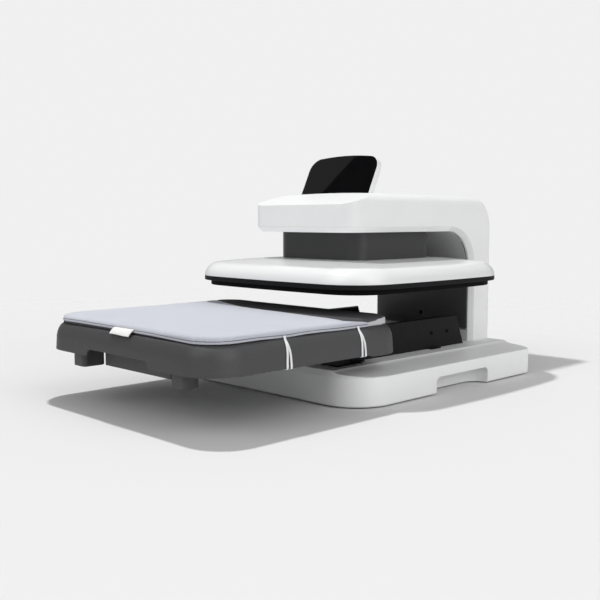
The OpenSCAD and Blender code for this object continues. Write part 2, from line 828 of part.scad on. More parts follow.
// Right-hand rails: a channel open inwards, one nested in it, and one on the tray nested in that
module channel(x0, x1, hh, flange, web_x) {
    translate([x0, rail_z + hh - flange]) square([x1 - x0, flange]);
    translate([x0, rail_z - hh]) square([x1 - x0, flange]);
    translate([web_x, rail_z - hh]) square([rail_t, 2 * hh]);
}
module rail_fixed() along_y(rail_front, rail_y1)
    channel(rail_x0 + rail_lip, rail_x1, rail_h / 2, rail_t, rail_x1 - rail_t);
module rail_mid() translate([0, -drawer_travel / 2, 0]) along_y(rail_front, rail_y1)
    channel(rail_x0 + rail_lip, rail_x1 - 2 * rail_t, mid_hh, mid_flange, rail_x0 + rail_w / 2);
module rail_tray() translate([0, -drawer_travel, 0]) along_y(rail_front, rail_y1)
    channel(rail_x0, rail_x0 + rail_w / 2 - rail_t / 2, inner_hh, rail_t, rail_x0);

module rail_fixed_right() color("silver") placed() rail_fixed();
module rail_fixed_left() color("silver") placed() mirror([1, 0, 0]) rail_fixed();
module rail_mid_right() color("silver") placed() rail_mid();
module rail_mid_left() color("silver") placed() mirror([1, 0, 0]) rail_mid();
module rail_tray_right() color("silver") placed() rail_tray();
module rail_tray_left() color("silver") placed() mirror([1, 0, 0]) rail_tray();

// Tray

// Draw-in of the tray's side at a height above its lower edge
tray_draft = 0.7;
tray_step = 3;
step_back = 90;
step_run = 13;
function tray_in(h) = h < tray_h - shoulder_h ? tray_draft * max(h, 0) / (tray_h - shoulder_h)
    : tray_draft + shoulder_w * (1 - sqrt(max(0, 1 - pow((h - tray_h + shoulder_h) / shoulder_h, 2))));
function tray_ring(inset, z) = at_height(plan_pts(tray_w / 2 - inset, tray_y0 + inset, tray_y1 - inset,
    tray_front_r - inset, tray_rear_r - inset), z);
slide_room = 30;
shoulder_steps = [for (a = [0:15:90]) tray_h - shoulder_h * (1 - sin(a))];

module tray_shell() color("#4c4c4e") placed() difference() {
    loft(concat([tray_ring(0, tray_under - tray_step)],
        [for (h = concat([0], shoulder_steps)) tray_ring(tray_in(h), tray_under + h)]));
    loft(concat([tray_ring(wall, tray_under - tray_step - over)],
        [for (h = concat([0], shoulder_steps)) tray_ring(tray_in(h) + wall, tray_under + h - wall)]));
    // the lower edge steps up before the rear quarter
    along_x(-far / 2, far / 2) polygon([[-far, 0], [-far, tray_under], [tray_y1 - step_back, tray_under],
        [tray_y1 - step_back + step_run, tray_under - tray_step], [tray_y1 - step_back + step_run, 0]]);
    // hand recess in the front
    along_y(tray_y0 - over, tray_y0 + 2 * wall + tray_draft)
        round_rect(-recess_w / 2, tray_under - tray_h, recess_w / 2, tray_under + recess_h, recess_h * 0.9);
    // the rear is open for the slides and their brackets
    translate([-bracket_x - slide_room, tray_y1 - tray_rear_r, 0])
        cube([2 * (bracket_x + slide_room), tray_rear_r + over, tray_z - 4 * wall]);
}

// Steel bed under the tray's top, its sides turned down to carry the tray's rails
module tray_bed() color("silver") placed() translate([0, -drawer_travel, 0]) {
    z1 = tray_z - wall;
    bed_l = rail_len - steel_t;
    translate([-rail_x0, rail_front, z1 - sheet_t]) cube([2 * rail_x0, bed_l, sheet_t]);
    both_sides() translate([rail_x0 - sheet_t, rail_front, rail_z - inner_hh])
        cube([sheet_t, bed_l, z1 - rail_z + inner_hh]);
}

module tray_feet() color("#303032") placed() both_sides() {
    leg_d = 37;
    leg_set = 13.5;
    leg_turn = 0.9 * leg_w;
    boss = 8;
    x0 = (leg_gap - leg_w) / 2;
    x1 = (leg_gap + leg_w) / 2;
    y0 = tray_y0 + leg_set;
    y1 = y0 + leg_d;
    up(tray_under - leg_drop, tray_z - shoulder_h / 2) hull() {
        for (y = [y0 + leg_r, y1 - leg_r]) translate([x0 + leg_r, y]) circle(leg_r);
        translate([x1 - leg_r, y0 + leg_r]) circle(leg_r);
        translate([x1 - leg_turn, y1 - leg_turn]) intersection() {
            circle(leg_turn);
            square(leg_turn);
        }
    }
    up(tray_under, tray_z - wall) round_rect(x0 + boss, y0 + boss, x1 - boss, y1 - leg_r, leg_r);
}
leg_r = 7;

// Upright behind the front hand recess, for the fingers
module tray_pull() color("#303032") placed() {
    up(tray_under - pull_drop, tray_z - wall)
        round_rect(-pull_w / 2, tray_y0 + pull_set, pull_w / 2, tray_y0 + pull_set + 2 * wall, wall - 0.01);
}
pull_set = 33.7;

// Pad

// Outline of the mat, drawn in by a distance, its sides pulled in between the corners
function mat_ring(inset, z) = at_height(plan_pts(tray_w / 2 - mat_inset - inset, tray_y0 + mat_inset + inset,
    tray_y1 - mat_inset - inset, tray_front_r - mat_inset - inset, tray_rear_r - mat_inset - inset,
    -mat_draw, -mat_draw), z);

// Soft slab: sides that swell and round over, and a low crown, grown all round by a distance
module soft_slab(z0, grow) {
    edge_w = 9;
    crown = 0.8;
    crown_run = 15;
    side_h = 0.45 * mat_t;
    tuck = 1.6;
    top = mat_z - crown + grow;
    loft(concat([mat_ring(tuck - grow, z0), mat_ring(tuck / 3 - grow, z0 + side_h / 2)],
        [for (a = [0:18:90])
            mat_ring(edge_w * (1 - cos(a)) - grow, top - (mat_t - crown - side_h) * (1 - sin(a)))],
        [mat_ring(edge_w + crown_run, top + crown / 2), mat_ring(edge_w + 2 * crown_run, top + crown)]));
}

module foam_mat() color("#4a4a4e") placed() soft_slab(tray_z, 0);

// Cloth cover drawn over the mat from the front; its rear edge lies a little askew
module pad_cover() color("#cdcfd8") placed() difference() {
    soft_slab(tray_z, cloth_t);
    soft_slab(tray_z - over, run);
    translate([0, tray_y1 - mat_inset - cloth_short, 0]) rotate(-cloth_turn)
        translate([-far / 2, 0, 0]) cube(far);
}

// Elastic strands: each pair spreads from one point on the cover's hem down over the tray's side
strap_ys = [[-138, -4, 3.5], [8.4, -1.4, 6]];
strap_n = 10;
strand_hook = 8;
strap_start = 3;
strap_flare = 1.2;
function strand_path(y, dy) = concat(
    [for (i = [0:strap_n]) let (s = i / strap_n, h = (tray_h - strap_start) * (1 - s))
        [tray_w / 2 - tray_in(h) + fit, y + dy * (1 - pow(1 - s, 2)), tray_under + h]],
    [[tray_w / 2 - strand_hook, y + dy, tray_under - fit]]);
function strand_out(i) = i < strap_n ? let (a = atan(strap_flare * pow(1 - i / strap_n, 4))) [cos(a), sin(a)]
    : i == strap_n ? [0.75, -0.75] : [0, -1];

module strand(y, dy) {
    path = strand_path(y, dy);
    loft([for (i = [0:strap_n + 1]) let (p = path[i], o = strand_t * strand_out(i))
        [[p.x, p.y - strand_w / 2, p.z], [p.x, p.y + strand_w / 2, p.z],
         [p.x + o.x, p.y + strand_w / 2, p.z + o.y], [p.x + o.x, p.y - strand_w / 2, p.z + o.y]]]);
}

module pad_straps() color("white") placed() both_sides()
    for (strap = strap_ys, dy = [strap[1], strap[2]]) strand(strap[0], dy);

// Blank tab sewn to the cover's front hem
module pad_tab() color("white") placed() {
    tab_t = 1;
    tab_lean = 43;
    tab_x = 3.5;
    tab_rise = 0.55 * mat_t;
    translate([tab_x, tray_y0 + mat_inset + mat_draw - cloth_t, tray_z + tab_rise]) rotate([tab_lean, 0, 0])
        translate([-tab_w / 2, -tab_l, 0]) cube([tab_w, tab_l, tab_t]);
}

// Moving press head

module lead_screw() color("silver") placed() translate([0, platen_y, 0]) {
    up(screw_z, bearing_z - run) circle(d = screw_d);
    up(bearing_z - over, beam_z - steel_t) circle(d = journal_d);
}

module lead_nut() color("goldenrod") placed() translate([0, platen_y, carriage_z]) difference() {
    union() {
        cylinder(d = nut_d, h = nut_h);
        cylinder(d = nut_d + 2 * nut_lip, h = nut_lip);
    }
    translate([0, 0, -over]) cylinder(d = screw_d + 2 * run, h = nut_h + 2 * over);
}

module carriage_plate() color("silver") placed() difference() {
    up(lid_z, carriage_z) neck_plan(-wall - fit);
    translate([0, platen_y, lid_z - over]) cylinder(d = screw_d + 2 * hole_gap, h = carriage_t + 2 * over);
}

module guide_rods() color("silver") placed() {
    rod_stub = 10;
    for (s = [-1, 1]) translate([s * rod_gap / 2, platen_y, carriage_z])
        cylinder(d = rod_d, h = steel_z1 + rod_stub - carriage_z);
}

// Plan of the neck, grown all round by a distance
module neck_plan(grow) plan(neck_w / 2 + grow, neck_front - grow, neck_y1 + grow, neck_r + grow, neck_r + grow);

module neck_shroud() color("#3c3c3e") placed() difference() {
    up(lid_z, neck_z) neck_plan(0);
    up(lid_z - over, neck_z + over) neck_plan(-wall);
}

// Platen outline drawn in by a distance, and the outline where the neck stands on its cover.
// The rear side stays all but straight, because it passes close to the column.
seat_bow = 0.3;
seat_lip = 4;
function platen_pts(inset) = plan_pts(platen_w / 2 - inset, platen_y - platen_w / 2 + inset,
    platen_y + platen_w / 2 - inset, platen_r - inset, platen_r - inset, platen_bow, seat_bow);
function seat_pts(grow) = plan_pts(
    neck_w / 2 + grow, neck_front - grow, neck_y1 + grow, neck_r + grow, neck_r + grow,
    seat_bow, seat_bow);

// Rings of the cover: a rounded edge, then a top that rises gently to the neck's seat
lid_rings = concat(
    [for (a = [0:15:90]) at_height(platen_pts(lid_edge_w * (1 - cos(a))), rim_z + lid_edge_h * sin(a))],
    [for (s = [0.35, 0.7, 1]) at_height(between(platen_pts(lid_edge_w), seat_pts(seat_lip), s),
        rim_z + lid_edge_h + (lid_h - lid_edge_h) * sin(90 * s))]);

module platen_cover() color("white") placed() difference() {
    loft(lid_rings);
    up(rim_z - over, rim_z + lid_edge_h - wall) core_plan(fit);
    translate([0, platen_y, rim_z]) cylinder(d = screw_d + 2 * hole_gap, h = lid_h + over);
    at_posts(rim_z, lid_z + over, fit);
}

// The four posts that hang the heat plate from the carriage
module at_posts(z0, z1, grow)
    for (x = [-1, 1], y = [-1, 1]) translate([x * post_gap / 2, platen_y + y * post_gap / 2, z0])
        cylinder(d = post_d + 2 * grow, h = z1 - z0);

module platen_posts() color("silver") placed() at_posts(plate_z, lid_z, 0);

core_inset = 30;
core_w = platen_w - 2 * (plate_inset + core_inset);
core_r = 20;
heater_t = 2;
wool_t = 8;
module core_plan(grow) round_rect(-core_w / 2 - grow, platen_y - core_w / 2 - grow,
    core_w / 2 + grow, platen_y + core_w / 2 + grow, core_r + grow);

module platen_rim() color("#18181a") placed() difference() {
    up(plate_z, rim_z) polygon(platen_pts(0));
    up(plate_z - over, rim_z + over) core_plan(fit);
}

module insulation() color("wheat") placed() difference() {
    up(plate_z + heater_t, plate_z + heater_t + wool_t) core_plan(0);
    at_posts(plate_z, lid_z, fit);
    at_sensor(plate_z - over, fit);
}

module heating_element() color("sienna") placed() difference() {
    up(plate_z, plate_z + heater_t) core_plan(0);
    at_posts(plate_z - over, lid_z, fit);
    at_sensor(plate_z - over, fit);
}

module heat_plate() color("#2a2a2c") placed() up(plate_under, plate_z) polygon(platen_pts(plate_inset));

// Temperature sensor clamped to the back of the heat plate
sensor_stem_d = 6;
module at_sensor(z0, grow) translate([core_w / 6, platen_y - core_w / 6, z0])
    cylinder(d = sensor_stem_d + 2 * grow, h = heater_t + wool_t + 2 * sheet_t);
module heat_sensor() color("gray") placed() at_sensor(plate_z, 0);

base_shell();
base_plate();
base_feet();
frame_shell();
head_bottom_cover();
column_liner();
arch_lining();
drawer_sensor();
steel_frame();
display_housing();
display_glass();
gearbox();
drive_motor();
screw_bearing();
guide_bushes();
control_board();
power_supply();
power_panel();
power_inlet();
inlet_pins();
switch_body();
power_rocker();
bracket_left();
bracket_right();
bracket_screws();
rail_fixed_left();
rail_fixed_right();
rail_mid_left();
rail_mid_right();
rail_tray_left();
rail_tray_right();
tray_shell();
tray_bed();
tray_feet();
tray_pull();
foam_mat();
pad_cover();
pad_straps();
pad_tab();
lead_screw();
lead_nut();
carriage_plate();
guide_rods();
neck_shroud();
platen_cover();
platen_posts();
platen_rim();
insulation();
heating_element();
heat_plate();
heat_sensor();
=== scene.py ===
# %% [markdown]
# # An automatic heat press
#
# The press is a white C-shaped frame on a flat base. A motor in its head lowers a
# square heat platen onto a padded tray, which rolls out towards the user on drawer
# slides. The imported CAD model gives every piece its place, and this lesson dresses it.

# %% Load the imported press
import json
import math

import bmesh
import bpy
from mathutils import Matrix, Vector
from mathutils.bvhtree import BVHTree
from mathutils.geometry import intersect_point_line


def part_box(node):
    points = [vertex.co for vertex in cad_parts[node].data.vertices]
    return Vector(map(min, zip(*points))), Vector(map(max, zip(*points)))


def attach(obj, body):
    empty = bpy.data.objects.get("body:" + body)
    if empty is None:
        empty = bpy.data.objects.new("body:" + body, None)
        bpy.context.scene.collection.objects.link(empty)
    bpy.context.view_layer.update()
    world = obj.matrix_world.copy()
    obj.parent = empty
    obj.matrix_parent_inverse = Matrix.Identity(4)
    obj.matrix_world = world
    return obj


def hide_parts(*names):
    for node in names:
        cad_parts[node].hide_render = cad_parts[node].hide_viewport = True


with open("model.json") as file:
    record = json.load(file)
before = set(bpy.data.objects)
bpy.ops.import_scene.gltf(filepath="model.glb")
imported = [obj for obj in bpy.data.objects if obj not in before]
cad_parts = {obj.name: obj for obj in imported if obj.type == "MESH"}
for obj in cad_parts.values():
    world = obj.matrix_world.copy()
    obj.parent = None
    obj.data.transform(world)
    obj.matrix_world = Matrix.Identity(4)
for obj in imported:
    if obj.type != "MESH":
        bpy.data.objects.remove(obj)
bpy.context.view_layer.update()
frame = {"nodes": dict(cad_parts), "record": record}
MM = 0.001

# %% [markdown]
# ## The camera
#
# The press is seen from its front right corner, a little above the tray, with a
# medium-long lens. The camera's place was found by matching the edges of the base,
# the tray and the platen, so it is set as numbers and never moved to flatter a piece.

# %% Camera
LENS, SENSOR = 51.61, 36.0
PLACE, LOOK = (1.02099, -1.01583, 0.27975), Vector((-0.7116, 0.6964, -0.0934))
camera_data = bpy.data.cameras.new("camera")
camera_data.lens = LENS
camera_data.sensor_width = SENSOR
camera = bpy.data.objects.new("camera", camera_data)
bpy.context.scene.collection.objects.link(camera)
camera.location = PLACE
camera.rotation_euler = LOOK.to_track_quat("-Z", "Y").to_euler()
bpy.context.scene.camera = camera
print("camera at", tuple(round(c, 3) for c in camera.location))

# %% [markdown]
# ## Node helpers
#
# Every finish is a small node tree. These helpers add a node, join sockets and read
# Object coordinates, so that a pattern keeps its real size on every piece.

# %% Node helpers
def node(tree, kind, **values):
    made = tree.nodes.new(kind)
    for key, value in values.items():
        setattr(made, key, value)
    return made


def put(made, **sockets):
    for key, value in sockets.items():
        made.inputs[key.replace("_", " ")].default_value = value
    return made


def noise(tree, vector, size, detail=3.0):
    made = put(node(tree, "ShaderNodeTexNoise"), Scale=1.0 / size, Detail=detail, Roughness=0.55)
    tree.links.new(vector, made.inputs["Vector"])
    return made.outputs["Fac"]


def spread(tree, value, low, high, start=0.3, end=0.7):
    made = node(tree, "ShaderNodeMapRange")
    for index, number in enumerate((start, end, low, high)):
        made.inputs[index + 1].default_value = number
    tree.links.new(value, made.inputs[0])
    return made.outputs[0]


def mixed(tree, factor, first, second):
    made = node(tree, "ShaderNodeMix", data_type="RGBA")
    tree.links.new(factor, made.inputs[0])
    made.inputs[6].default_value = (*first, 1.0)
    made.inputs[7].default_value = (*second, 1.0)
    return made.outputs[2]


def bumped(tree, height, distance, strength=1.0):
    made = put(node(tree, "ShaderNodeBump"), Strength=strength, Distance=distance)
    tree.links.new(height, made.inputs["Height"])
    return made.outputs["Normal"]


def new_finish(name):
    made = bpy.data.materials.new(name)
    made.use_nodes = True
    tree = made.node_tree
    shader = tree.nodes["Principled BSDF"]
    place = node(tree, "ShaderNodeTexCoord").outputs["Object"]
    return made, tree, shader, place


def tint(colour, factor):
    return tuple(min(1.0, c * factor) for c in colour)


def wire(tree, shader, **sockets):
    for key, value in sockets.items():
        tree.links.new(value, shader.inputs[key.replace("_", " ")])


print("node helpers ready")

# %% [markdown]
# ## Moulded plastics
#
# The shells are injection-moulded. The white ones have a fine spark texture with a
# satin sheen, the platen's cover is polished, and the tray is a coarser dark grey.
# One function makes them all: slow mottling in the colour, a second noise in the
# roughness, and a fine grain as bump. Only the numbers differ.

# %% Plastic finishes
def plastic(name, colour, rough, grain_size, grain_depth, mottle=0.03, swing=0.05, coat=0.0, specular=0.5):
    made, tree, shader, place = new_finish(name)
    slow = noise(tree, place, 60 * MM)
    fine = noise(tree, place, 4 * MM)
    grain = noise(tree, place, grain_size, 2.0)
    wire(tree, shader,
         Base_Color=mixed(tree, slow, tint(colour, 1 - mottle), tint(colour, 1 + mottle)),
         Roughness=spread(tree, fine, rough - swing, rough + swing),
         Normal=bumped(tree, grain, grain_depth))
    put(shader, Specular_IOR_Level=specular, Coat_Weight=coat, Coat_Roughness=0.08)
    return made


white_shell = plastic("white_moulded_shell", (0.78, 0.784, 0.784), 0.42, 0.9 * MM, 0.012 * MM)
gloss_cover = plastic("polished_white_cover", (0.73, 0.734, 0.734), 0.26, 1.2 * MM, 0.002 * MM,
                      mottle=0.01, swing=0.006, coat=0.30)
# painted light: the head's underside is a brighter white than the shells, for the bounce from below
underside_painted_light = plastic("white_underside_painted_light", (0.90, 0.904, 0.904), 0.42, 0.9 * MM, 0.012 * MM)
neck_grey = plastic("dark_neck_plastic", (0.032, 0.032, 0.034), 0.34, 0.8 * MM, 0.010 * MM, mottle=0.06)
liner_grey = plastic("dark_liner_plastic", (0.080, 0.080, 0.083), 0.40, 1.0 * MM, 0.014 * MM, mottle=0.08)
tray_grey = plastic("tray_plastic", (0.046, 0.046, 0.048), 0.50, 1.1 * MM, 0.022 * MM, mottle=0.06)
black_plastic = plastic("black_fitting_plastic", (0.007, 0.007, 0.008), 0.52, 0.8 * MM, 0.012 * MM,
                        mottle=0.10, specular=0.12)
coated_plate = plastic("non_stick_plate", (0.004, 0.004, 0.004), 0.58, 0.5 * MM, 0.016 * MM,
                       mottle=0.12, specular=0.05)
rubber = plastic("foot_rubber", (0.016, 0.016, 0.016), 0.75, 0.6 * MM, 0.030 * MM, mottle=0.12)
# painted shade: the arch panel's white is darkened to a mid grey for the shade in the throat
arch_painted_shade = plastic("arch_plastic_painted_shade", (0.52, 0.525, 0.525), 0.45, 0.9 * MM, 0.012 * MM)
board_green = plastic("board_green", (0.02, 0.15, 0.06), 0.40, 0.7 * MM, 0.010 * MM, mottle=0.10)
wool = plastic("mineral_wool", (0.70, 0.62, 0.45), 0.95, 2.0 * MM, 0.300 * MM, mottle=0.12)
print("plastics:", white_shell.name, "and eleven more")

# %% [markdown]
# ## Metals
#
# Nearly all the metal is hidden. The slides and their brackets show under the tray, and
# both are painted black, which has an even, fine grain. Bare rolled sheet has fine lines
# along its length instead. One function makes both: a Mapping node stretches the noise,
# or leaves it even, before it reaches the roughness and the bump.

# %% Metal finishes
EVEN = (300.0, 300.0, 300.0)


def metal(name, colour, rough, stretch=(400.0, 12.0, 400.0), metallic=1.0, depth=0.006 * MM, specular=0.5):
    made, tree, shader, place = new_finish(name)
    turned = node(tree, "ShaderNodeMapping")
    turned.inputs["Scale"].default_value = stretch
    tree.links.new(place, turned.inputs["Vector"])
    lines = noise(tree, turned.outputs["Vector"], 1.0, 2.0)
    slow = noise(tree, place, 30 * MM)
    wire(tree, shader,
         Base_Color=mixed(tree, slow, tint(colour, 0.92), tint(colour, 1.08)),
         Roughness=spread(tree, lines, rough - 0.08, rough + 0.10),
         Normal=bumped(tree, lines, depth))
    put(shader, Metallic=metallic, Specular_IOR_Level=specular)
    return made


zinc = metal("zinc_plated_steel", (0.55, 0.56, 0.58), 0.36)
bright_steel = metal("ground_steel", (0.62, 0.63, 0.65), 0.22, (30.0, 30.0, 900.0))
black_paint = metal("black_painted_sheet", (0.009, 0.009, 0.010), 0.50, EVEN, 0.0, 0.015 * MM, 0.12)
bolt_black = metal("blackened_steel", (0.004, 0.004, 0.004), 0.45, EVEN, 0.0, 0.010 * MM, 0.10)
cast_alloy = metal("cast_alloy", (0.45, 0.46, 0.47), 0.50, (500.0, 500.0, 500.0), depth=0.040 * MM)
motor_paint = metal("motor_paint", (0.10, 0.10, 0.11), 0.45, (400.0, 400.0, 400.0), 0.0)
bronze = metal("bearing_bronze", (0.60, 0.44, 0.22), 0.32, (60.0, 60.0, 800.0))
foil = metal("heater_foil", (0.50, 0.42, 0.32), 0.42, (200.0, 200.0, 200.0))
print("metals:", zinc.name, "and seven more")

# %% [markdown]
# ## Glass
#
# The display is switched off, so it is a sheet of black glass: nearly no colour of its
# own, and a sharp reflection of the studio. A faint haze in the roughness stands for
# the anti-glare coat.

# %% Glass finish
def black_glass(name):
    made, tree, shader, place = new_finish(name)
    haze = noise(tree, place, 20 * MM)
    wire(tree, shader,
         Base_Color=mixed(tree, haze, (0.0030, 0.0030, 0.0034), (0.0042, 0.0042, 0.0046)),
         Roughness=spread(tree, haze, 0.015, 0.035))
    put(shader, Specular_IOR_Level=0.32)
    return made


display_black = black_glass("display_glass_black")
print("glass:", display_black.name)

# %% [markdown]
# ## Cloth, foam and elastic
#
# The pad's cover is a close plain weave with a cool grey dye. Two wave textures at
# right angles make the threads: where they cross, one stands over the other. The foam
# mat has small closed pores, and the elastic is ribbed across its length.

# %% Soft finishes
def threads(tree, place, axis, pitch):
    made = put(node(tree, "ShaderNodeTexWave", wave_type="BANDS", bands_direction=axis),
               Scale=math.pi / (10.0 * pitch), Distortion=0.6, Detail=1.0, Detail_Scale=2.0)
    tree.links.new(place, made.inputs["Vector"])
    return made.outputs["Fac"]


def woven(name, colour, pitch, depth, rough=0.85, sheen=0.25):
    made, tree, shader, place = new_finish(name)
    cross = node(tree, "ShaderNodeMath", operation="MULTIPLY")
    tree.links.new(threads(tree, place, "X", pitch), cross.inputs[0])
    tree.links.new(threads(tree, place, "Y", pitch), cross.inputs[1])
    slow = noise(tree, place, 50 * MM)
    shade = node(tree, "ShaderNodeMath", operation="ADD")
    tree.links.new(spread(tree, cross.outputs[0], 0.0, 0.5, 0.0, 1.0), shade.inputs[0])
    tree.links.new(spread(tree, slow, 0.0, 0.25), shade.inputs[1])
    wire(tree, shader,
         Base_Color=mixed(tree, shade.outputs[0], tint(colour, 0.93), tint(colour, 1.05)),
         Roughness=spread(tree, slow, rough - 0.05, rough + 0.05),
         Normal=bumped(tree, cross.outputs[0], depth))
    put(shader, Specular_IOR_Level=0.25, Sheen_Weight=sheen, Sheen_Roughness=0.5)
    return made


def foam(name, colour, pore, depth):
    made, tree, shader, place = new_finish(name)
    cells = put(node(tree, "ShaderNodeTexVoronoi"), Scale=1.0 / pore)
    tree.links.new(place, cells.inputs["Vector"])
    slow = noise(tree, place, 30 * MM)
    wire(tree, shader,
         Base_Color=mixed(tree, slow, tint(colour, 0.88), tint(colour, 1.12)),
         Roughness=spread(tree, slow, 0.72, 0.86),
         Normal=bumped(tree, cells.outputs["Distance"], depth))
    put(shader, Specular_IOR_Level=0.3)
    return made


cover_cloth = woven("pad_cover_weave", (0.49, 0.507, 0.562), 0.9 * MM, 0.10 * MM)
thread_white = woven("hem_thread", (0.56, 0.57, 0.62), 0.4 * MM, 0.05 * MM)
# painted shade: a dark grey cloth for the faces in the seam's groove
seam_painted_shade = woven("seam_groove_painted_shade", (0.16, 0.16, 0.19), 0.9 * MM, 0.10 * MM)
elastic_white = woven("ribbed_elastic", (0.80, 0.81, 0.82), 0.8 * MM, 0.12 * MM, 0.8)
tab_white = woven("woven_tab", (0.82, 0.82, 0.80), 0.5 * MM, 0.06 * MM, 0.75)
# the foam's own dark grey on the top; on the sides under the cover it is a painted shade for the gap below
# the hem
foam_with_gap_shade = foam("mat_foam_grey_with_gap_shade", (0.055, 0.055, 0.060), 0.9 * MM, 0.10 * MM)
mat_core = foam("mat_core_pale", (0.48, 0.48, 0.50), 1.1 * MM, 0.12 * MM)
print("soft finishes:", cover_cloth.name, "and six more")

# %% [markdown]
# ## Finishes for the carried-over CAD nodes
#
# A node whose shape is right stays as it is and only takes a better finish. Most of
# these are the pieces inside the shells, and the inner slides are among them.

# %% Assign finishes to CAD nodes
CAD_FINISH = {
    zinc: ["base_plate", "steel_frame", "carriage_plate", "tray_bed", "power_supply", "screw_bearing",
           "platen_posts"],
    black_paint: ["rail_mid_left", "rail_mid_right", "rail_tray_left", "rail_tray_right"],
    bright_steel: ["lead_screw", "guide_rods", "heat_sensor"],
    bronze: ["guide_bushes", "lead_nut", "inlet_pins"],
    cast_alloy: ["gearbox"],
    motor_paint: ["drive_motor"],
    foil: ["heating_element"],
    board_green: ["control_board"],
    wool: ["insulation"],
    rubber: ["base_feet"],
    black_plastic: ["drawer_sensor"],
}
for finish, names in CAD_FINISH.items():
    for name in names:
        materials = frame["nodes"][name].data.materials
        materials.clear()
        materials.append(finish)
print("finished", sum(len(n) for n in CAD_FINISH.values()), "CAD nodes")

# %% [markdown]
# ## Shells with softened edges
#
# A moulding never has a knife edge. Each visible shell is a copy of its CAD node: the
# loose triangles are merged, flat areas are joined into single faces, and the sharp
# edges that are left get a small bevel. Where two edges run close together a bevel can
# throw a corner out, so any point far from the CAD surface is put back on it. The
# weighted normals keep the flats flat.

# %% Shell helper
BODY_OF = {name: body for body, names in frame["record"]["behaviour"]["bodies"].items() for name in names}


def piece_from(bm, name, finish):
    mesh = bpy.data.meshes.new(name)
    bm.to_mesh(mesh)
    bm.free()
    mesh.materials.append(finish)
    made = bpy.data.objects.new(name, mesh)
    bpy.context.scene.collection.objects.link(made)
    return made


def smooth(made, angle):
    made.data.shade_smooth()
    made.data.set_sharp_from_angle(angle=math.radians(angle))
    weighted = made.modifiers.new("weighted_normals", "WEIGHTED_NORMAL")
    weighted.keep_sharp = True
    return made


def settle(made, node_name):
    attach(made, BODY_OF[node_name])
    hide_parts(node_name)
    return made


def merged_copy(node_name):
    bm = bmesh.new()
    bm.from_mesh(frame["nodes"][node_name].data)
    bmesh.ops.remove_doubles(bm, verts=bm.verts, dist=0.01 * MM)
    return bm


FLAT_ANGLE, SMOOTH_ANGLE, STRAY = 0.5, 50.0, 0.8


def shell(node_name, name, finish, edge, hard=28.0, reshape=None):
    bm = merged_copy(node_name)
    if reshape:
        reshape(bm)
    bmesh.ops.dissolve_limit(bm, angle_limit=math.radians(FLAT_ANGLE), verts=bm.verts, edges=bm.edges)
    surface = BVHTree.FromBMesh(bm)
    sharp = [e for e in bm.edges if e.is_manifold and e.calc_face_angle() > math.radians(hard)]
    bmesh.ops.bevel(bm, geom=sharp, offset=edge, offset_type="OFFSET", segments=2, profile=0.5,
                    affect="EDGES", clamp_overlap=False, material=-1)
    for v in bm.verts:
        nearest, _, _, away = surface.find_nearest(v.co)
        if away > STRAY * edge:
            v.co = nearest
    made = smooth(piece_from(bm, name, finish), SMOOTH_ANGLE)
    print(name, len(sharp), "edges softened,", len(made.data.polygons), "faces")
    return settle(made, node_name)


print("the press has", len(BODY_OF), "nodes")

# %% [markdown]
# ### The column's lining
#
# The column's lining has a sunken field. Its full depth gives the sensor room, but what
# shows is a shallow, slanting step, so the field's floor is brought forward and drawn in
# before the bevel. The arch above it has a panel that closes the gap to the frame's edge.
# Its grey is the frame's white darkened, a painted shade for the deep throat.

# %% Reshape the lining
FIELD_SINK, FIELD_STEP = 8.0 * MM, 2.5 * MM
FIELD_EDGE, FIELD_DRAWN = 80 * MM, 0.92
FIELD_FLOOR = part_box("column_liner")[0][1] + FIELD_SINK
ARCH_WIDER = 1.0024


def shallow_field(bm):
    for v in bm.verts:
        if abs(v.co.y - FIELD_FLOOR) < 0.1 * MM:
            v.co.y -= FIELD_SINK - FIELD_STEP
            v.co.x *= FIELD_DRAWN if abs(v.co.x) > FIELD_EDGE else 1.0


def closed_gap(bm):
    for v in bm.verts:
        v.co.x *= ARCH_WIDER


print("field's step", round(FIELD_STEP / MM, 1), "mm")

# %% [markdown]
# ### The base's front wall
#
# In the CAD model the base's wall rounds off and a small step leads up to the platform.
# The moulding's wall runs straight up, so the points of the step are moved outwards onto
# the line between the wall and the platform's edge. The wall's outline is curved at the
# corners: each point moves towards the nearest place on it.

# %% Straighten the front wall
STEP_LOW, STEP_FOOT, STEP_TOP, STEP_IN = 44.2 * MM, 46.8 * MM, 55.5 * MM, 2.5 * MM
FRONT_Y, OUTLINE_Y = -50 * MM, -40 * MM


def nearest_on(outline, place):
    best = None
    for a, b in outline:
        point, share = intersect_point_line(place, a, b)
        point = a if share < 0 else b if share > 1 else point
        if best is None or (place - point).length < (place - best).length:
            best = point
    return best


def straight_front(bm):
    level = [e for e in bm.edges if all(abs(v.co.z - STEP_LOW) < 0.02 * MM for v in e.verts)]
    outline = [[v.co.copy() for v in e.verts] for e in level if e.verts[0].co.y < OUTLINE_Y]
    moved = 0
    for v in bm.verts:
        if v.co.y < FRONT_Y and STEP_LOW + 0.1 * MM < v.co.z < STEP_FOOT:
            place = Vector((v.co.x, v.co.y, STEP_LOW))
            out = nearest_on(outline, place) - place
            if 0.01 * MM < out.length < STEP_IN + 0.3 * MM:
                inset = STEP_IN * (v.co.z - STEP_LOW) / (STEP_TOP - STEP_LOW)
                v.co += out * max(0.0, 1 - inset / out.length)
                moved += 1
    print("front step straightened at", moved, "points")


shell("base_shell", "base_moulding", white_shell, 0.6 * MM, reshape=straight_front)
